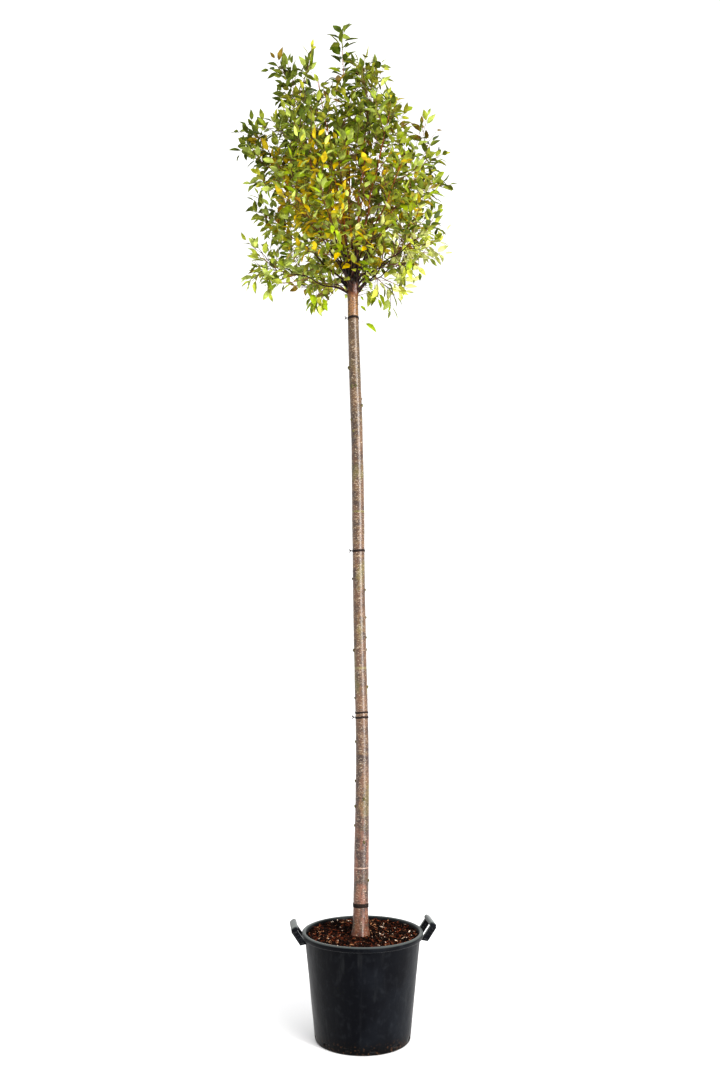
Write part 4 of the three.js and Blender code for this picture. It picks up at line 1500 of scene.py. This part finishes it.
def chamfered(corners, cut):
    """The same section with each corner cut back into two."""
    made = []
    count = len(corners)
    for i, corner in enumerate(corners):
        for other in (corners[i - 1], corners[(i + 1) % count]):
            step = other - corner
            made.append(corner + step * min(0.4, cut / np.linalg.norm(step)))
    return made


def rounded_bar(shape, section, middle, half, round_off, turn):
    """A bar of a given section in the plane of X and Z, drawn out along Y with its ends rounded off."""
    low, high = middle - half, middle + half
    count = len(section)
    centre = np.mean(section, axis=0)
    stations = (
        (low, round_off), (low + round_off * 0.3, round_off * 0.3), (low + round_off, 0),
        (high - round_off, 0), (high - round_off * 0.3, round_off * 0.3), (high, round_off),
    )
    cos, sin = math.cos(turn), math.sin(turn)
    points = []
    for place, inset in stations:
        for corner in section:
            pull = centre - corner
            x, z = corner + pull * min(1, inset / np.linalg.norm(pull))
            points.append((x * cos - place * sin, x * sin + place * cos, z))
    # a bar's faces turn the other way round than a tube's
    faces = [(a, d, c, b) for a, b, c, d in band_faces(len(stations), count)]
    faces.append(tuple(range(count)))
    faces.append(tuple((len(stations) - 1) * count + i for i in reversed(range(count))))
    shape.add(points, faces)


def add_plate(shape, outline, kind, middle, turn):
    half, round_off, chamfer = kind
    section = chamfered([handle_corner(*place) for place in outline], chamfer)
    rounded_bar(shape, section, middle, half, round_off, turn)


def add_arm(shape, middle, turn):
    """One of a handle's two arms: a web between flanges, with ribs."""
    add_plate(shape, ARM_WEB, WEB, middle, turn)
    for outline in ARM_FLANGES:
        add_plate(shape, outline, FLANGE, middle, turn)
    for low in ARM_RIBS:
        high, deep = low + RIB_THICKNESS, RIB_HALF_DEPTH
        add_plate(shape, ((low, deep), (high, deep), (high, -deep), (low, -deep)), RIB, middle, turn)


def add_grip(shape, turn):
    grip = []
    for angle in turns(GRIP_POINTS):
        along = bulged(math.cos(angle), 0.75) * GRIP_HALF_SIZE[0]
        across = bulged(math.sin(angle), 0.75) * GRIP_HALF_SIZE[1] + GRIP_SHIFT
        grip.append(handle_corner(HANDLE_REACH + along, across))
    rounded_bar(shape, grip, 0, GRIP_HALF_WIDTH, GRIP_ROUNDING, turn)


def make_handles():
    material = plastic_finish("handle_plastic", 1.4)
    arm_off = (HANDLE_WIDTH - ARM_WIDTH) / 2
    for side, name in ((0, "handle_right"), (180, "handle_left")):
        shape = Shape()
        turn = radians(HANDLE_TURN + side)
        for middle in (-arm_off, arm_off):
            add_arm(shape, middle, turn)
        add_grip(shape, turn)
        weld(shape.piece(name, [material], "container", ["pot_" + name], smooth=False))


# Growing medium

SOIL_RINGS = 44
SOIL_SIDES = 120
SOIL_LOW = 0.008
SOIL_GAP = 0.0006
SOIL_FIT_DROP = 0.004
SOIL_EDGE_DROP = 0.003
SOIL_RISE = 0.0052
SOIL_LUMPS = 0.0026
SOIL_CRUMBS = 0.0014
CHIPS = 3400
CHIP_SEED = 77
CHIP_LENGTH = 0.019
CHIPS_FROM_STEM = 0.036
CHIPS_FROM_WALL = 0.008
CHIP_WIDTHS = (0.0022, 0.0070)
CHIP_THICKNESSES = (0.0009, 0.0024)
CHIP_LIFTS = (-0.0006, 0.0014)
# outline of a flake: shares of its length and of its width
CHIP_OUTLINE = ((-0.5, -0.35), (0.1, -0.5), (0.5, -0.1), (0.35, 0.45), (-0.2, 0.5), (-0.5, 0.2))
# colour, share of the chips
CHIP_TINTS = {
    "dark": (srgb(17, 8, 5), 0.47),
    "brown": (srgb(48, 25, 16), 0.29),
    "russet": (srgb(98, 48, 27), 0.16),
    "fawn": (srgb(150, 110, 80), 0.06),
    "pale": (srgb(214, 194, 174), 0.02),
}


def soil_height(x, y):
    """The soil is flat under the stem, then rises a little towards the wall."""
    around = math.hypot(x, y)
    rise = SOIL_RISE * clamp((around - 0.05) / 0.13)
    rough = SOIL_LUMPS * lumps(x, y, 0, 38, 1, shift=3) + SOIL_CRUMBS * lumps(x, y, 0, 120, 1, shift=1)
    return SOIL_LEVEL + (rise + rough) * clamp((around - 0.03) / 0.03)


def make_soil():
    shape = Shape()
    wall = pot_wall_radius(SOIL_LEVEL - SOIL_FIT_DROP) - POT_WALL - SOIL_GAP
    low = pot_wall_radius(SOIL_LOW) - POT_WALL - SOIL_GAP
    sides = [(s, (s + 1) % SOIL_SIDES) for s in range(SOIL_SIDES)]
    points = [(0, 0, SOIL_LEVEL)]
    for r in range(1, SOIL_RINGS + 1):
        radius = wall * r / SOIL_RINGS
        for angle in turns(SOIL_SIDES):
            x, y = radius * math.cos(angle), radius * math.sin(angle)
            points.append((x, y, soil_height(x, y) - (SOIL_EDGE_DROP if r == SOIL_RINGS else 0)))
    points += [(low * math.cos(angle), low * math.sin(angle), SOIL_LOW) for angle in turns(SOIL_SIDES)]
    points.append((0, 0, SOIL_LOW))
    last = 1 + SOIL_RINGS * SOIL_SIDES
    faces = [(0, 1 + s, 1 + after) for s, after in sides]
    for inner in range(1, last, SOIL_SIDES):
        outer = inner + SOIL_SIDES
        faces += [(inner + s, outer + s, outer + after, inner + after) for s, after in sides]
    faces += [(last + s, len(points) - 1, last + after) for s, after in sides]
    shape.add(points, faces)
    shape.piece("soil_bed", [soil_finish()], "growing_medium", ["soil"])
    make_chips(wall)


def chip_tint(draws):
    pick = draws.next()
    for tint, (_, share) in CHIP_TINTS.items():
        pick -= share
        if pick <= 0:
            break
    return tint


def make_chips(wall):
    """Flakes of bark that lie about on the soil, a piece for each tint."""
    draws = Draws(CHIP_SEED)
    shapes = {tint: Shape() for tint in CHIP_TINTS}
    stem = trunk_middle(TRUNK_FOOT)
    for _ in range(CHIPS):
        around = math.sqrt(draws.between(0.02, 1)) * (wall - CHIPS_FROM_WALL)
        angle = draws.between(0, 2 * math.pi)
        x, y = around * math.cos(angle), around * math.sin(angle)
        if math.hypot(x - stem[0], y - stem[1]) < CHIPS_FROM_STEM:
            continue
        grown = draws.between(0.35, 1) ** 1.6
        length, width = CHIP_LENGTH * grown, draws.between(*CHIP_WIDTHS) * grown ** 0.5
        thick = draws.between(*CHIP_THICKNESSES)
        if around + length / 2 > wall:
            length *= 0.5
        turn, tilt, roll = draws.between(0, 2 * math.pi), draws.between(-0.55, 0.55), draws.between(-0.7, 0.7)
        ahead = np.array([math.cos(turn) * math.cos(tilt), math.sin(turn) * math.cos(tilt), math.sin(tilt)])
        side = squared(unit(np.cross(UP, ahead)) * math.cos(roll) + UP * math.sin(roll), ahead)
        top = np.cross(ahead, side)
        lift = thick * 0.3 + abs(math.sin(tilt)) * length * 0.25 + draws.between(*CHIP_LIFTS)
        centre = np.array([x, y, soil_height(x, y) + lift])
        corners = []
        for level in (-0.5, 0.5):
            for a, s in CHIP_OUTLINE:
                jitter = draws.between(0.75, 1.15)
                sideways = side * s * width * jitter
                corners.append(centre + ahead * a * length * jitter + sideways + top * thick * level)
        n = len(CHIP_OUTLINE)
        faces = [tuple(reversed(range(n))), tuple(range(n, 2 * n)), *band_faces(2, n)]
        shapes[chip_tint(draws)].add(corners, faces)
    for tint, (colour, _) in CHIP_TINTS.items():
        material = chip_finish("chip_" + tint, colour)
        shapes[tint].piece("chips_" + tint, [material], "growing_medium", smooth=False)


# Stage, light and camera

FLOOR_HALF_SIZE = 30.0
CAMERA_PLACE = (-0.009, -3.602, 1.303)
CAMERA_PITCH = 6.57
CAMERA_LENS = 33.33
CAMERA_SENSOR = 36
KEY_DIRECTION = (-0.66, 0.86, -0.46)
KEY_COLOUR = (1.0, 0.975, 0.94)
KEY_SOFTNESS = 32
KEY_POWER = 1.8
STRIP_PLACE = (2.3, -2.5, 1.9)
STRIP_SIZE = (0.7, 3.6)
STRIP_POWER = 120
WORLD_POWER = 1.06


def make_stage():
    mesh = bpy.data.meshes.new("floor")
    corners = [(x * FLOOR_HALF_SIZE, y * FLOOR_HALF_SIZE, 0) for x, y in ((-1, -1), (1, -1), (1, 1), (-1, 1))]
    mesh.from_pydata(corners, [], [(0, 1, 2, 3)])
    made = Finish("floor_paint", roughness=0.6)
    stain = made.noise((0.9, 0.9, 0.9))
    made.colour(made.lay((0.86, 0.86, 0.87), (0.90, 0.90, 0.90), stain, 0.3, 0.7))
    mesh.materials.append(made.material)
    floor = put("floor", mesh)


def aim(lamp, direction):
    """Turns a lamp so that it shines in a direction."""
    lamp.rotation_euler = Vector(direction).to_track_quat("-Z", "Y").to_euler()


def make_light():
    """A white studio, a soft key from the right, and a tall lamp there for the stem's sheen."""
    world = bpy.data.worlds.new("studio")
    world.use_nodes = True
    background = world.node_tree.nodes["Background"]
    background.inputs["Color"].default_value = (1.0, 1.0, 1.0, 1)
    background.inputs["Strength"].default_value = WORLD_POWER
    bpy.context.scene.world = world
    key = bpy.data.lights.new("key", "SUN")
    key.angle = radians(KEY_SOFTNESS)
    key.energy = KEY_POWER
    key.color = KEY_COLOUR
    aim(put("key", key), KEY_DIRECTION)
    strip = bpy.data.lights.new("strip", "AREA")
    strip.shape = "RECTANGLE"
    strip.size, strip.size_y = STRIP_SIZE
    strip.energy = STRIP_POWER
    stood = put("strip", strip)
    stood.location = STRIP_PLACE
    aim(stood, Vector((0, 0, STRIP_PLACE[2])) - Vector(STRIP_PLACE))


def make_camera():
    camera = bpy.data.cameras.new("camera")
    camera.lens = CAMERA_LENS
    camera.sensor_width = CAMERA_SENSOR
    made = put("camera", camera)
    made.location = CAMERA_PLACE
    made.rotation_euler = (radians(90 + CAMERA_PITCH), 0, 0)
    bpy.context.scene.camera = made


make_camera()
make_stage()
make_light()
bpy.context.scene.view_settings.view_transform = "Standard"
bpy.context.scene.view_settings.look = "Medium High Contrast"
make_pot()
make_handles()
make_soil()
make_trunk()
make_knots()
make_ties()
make_crown()
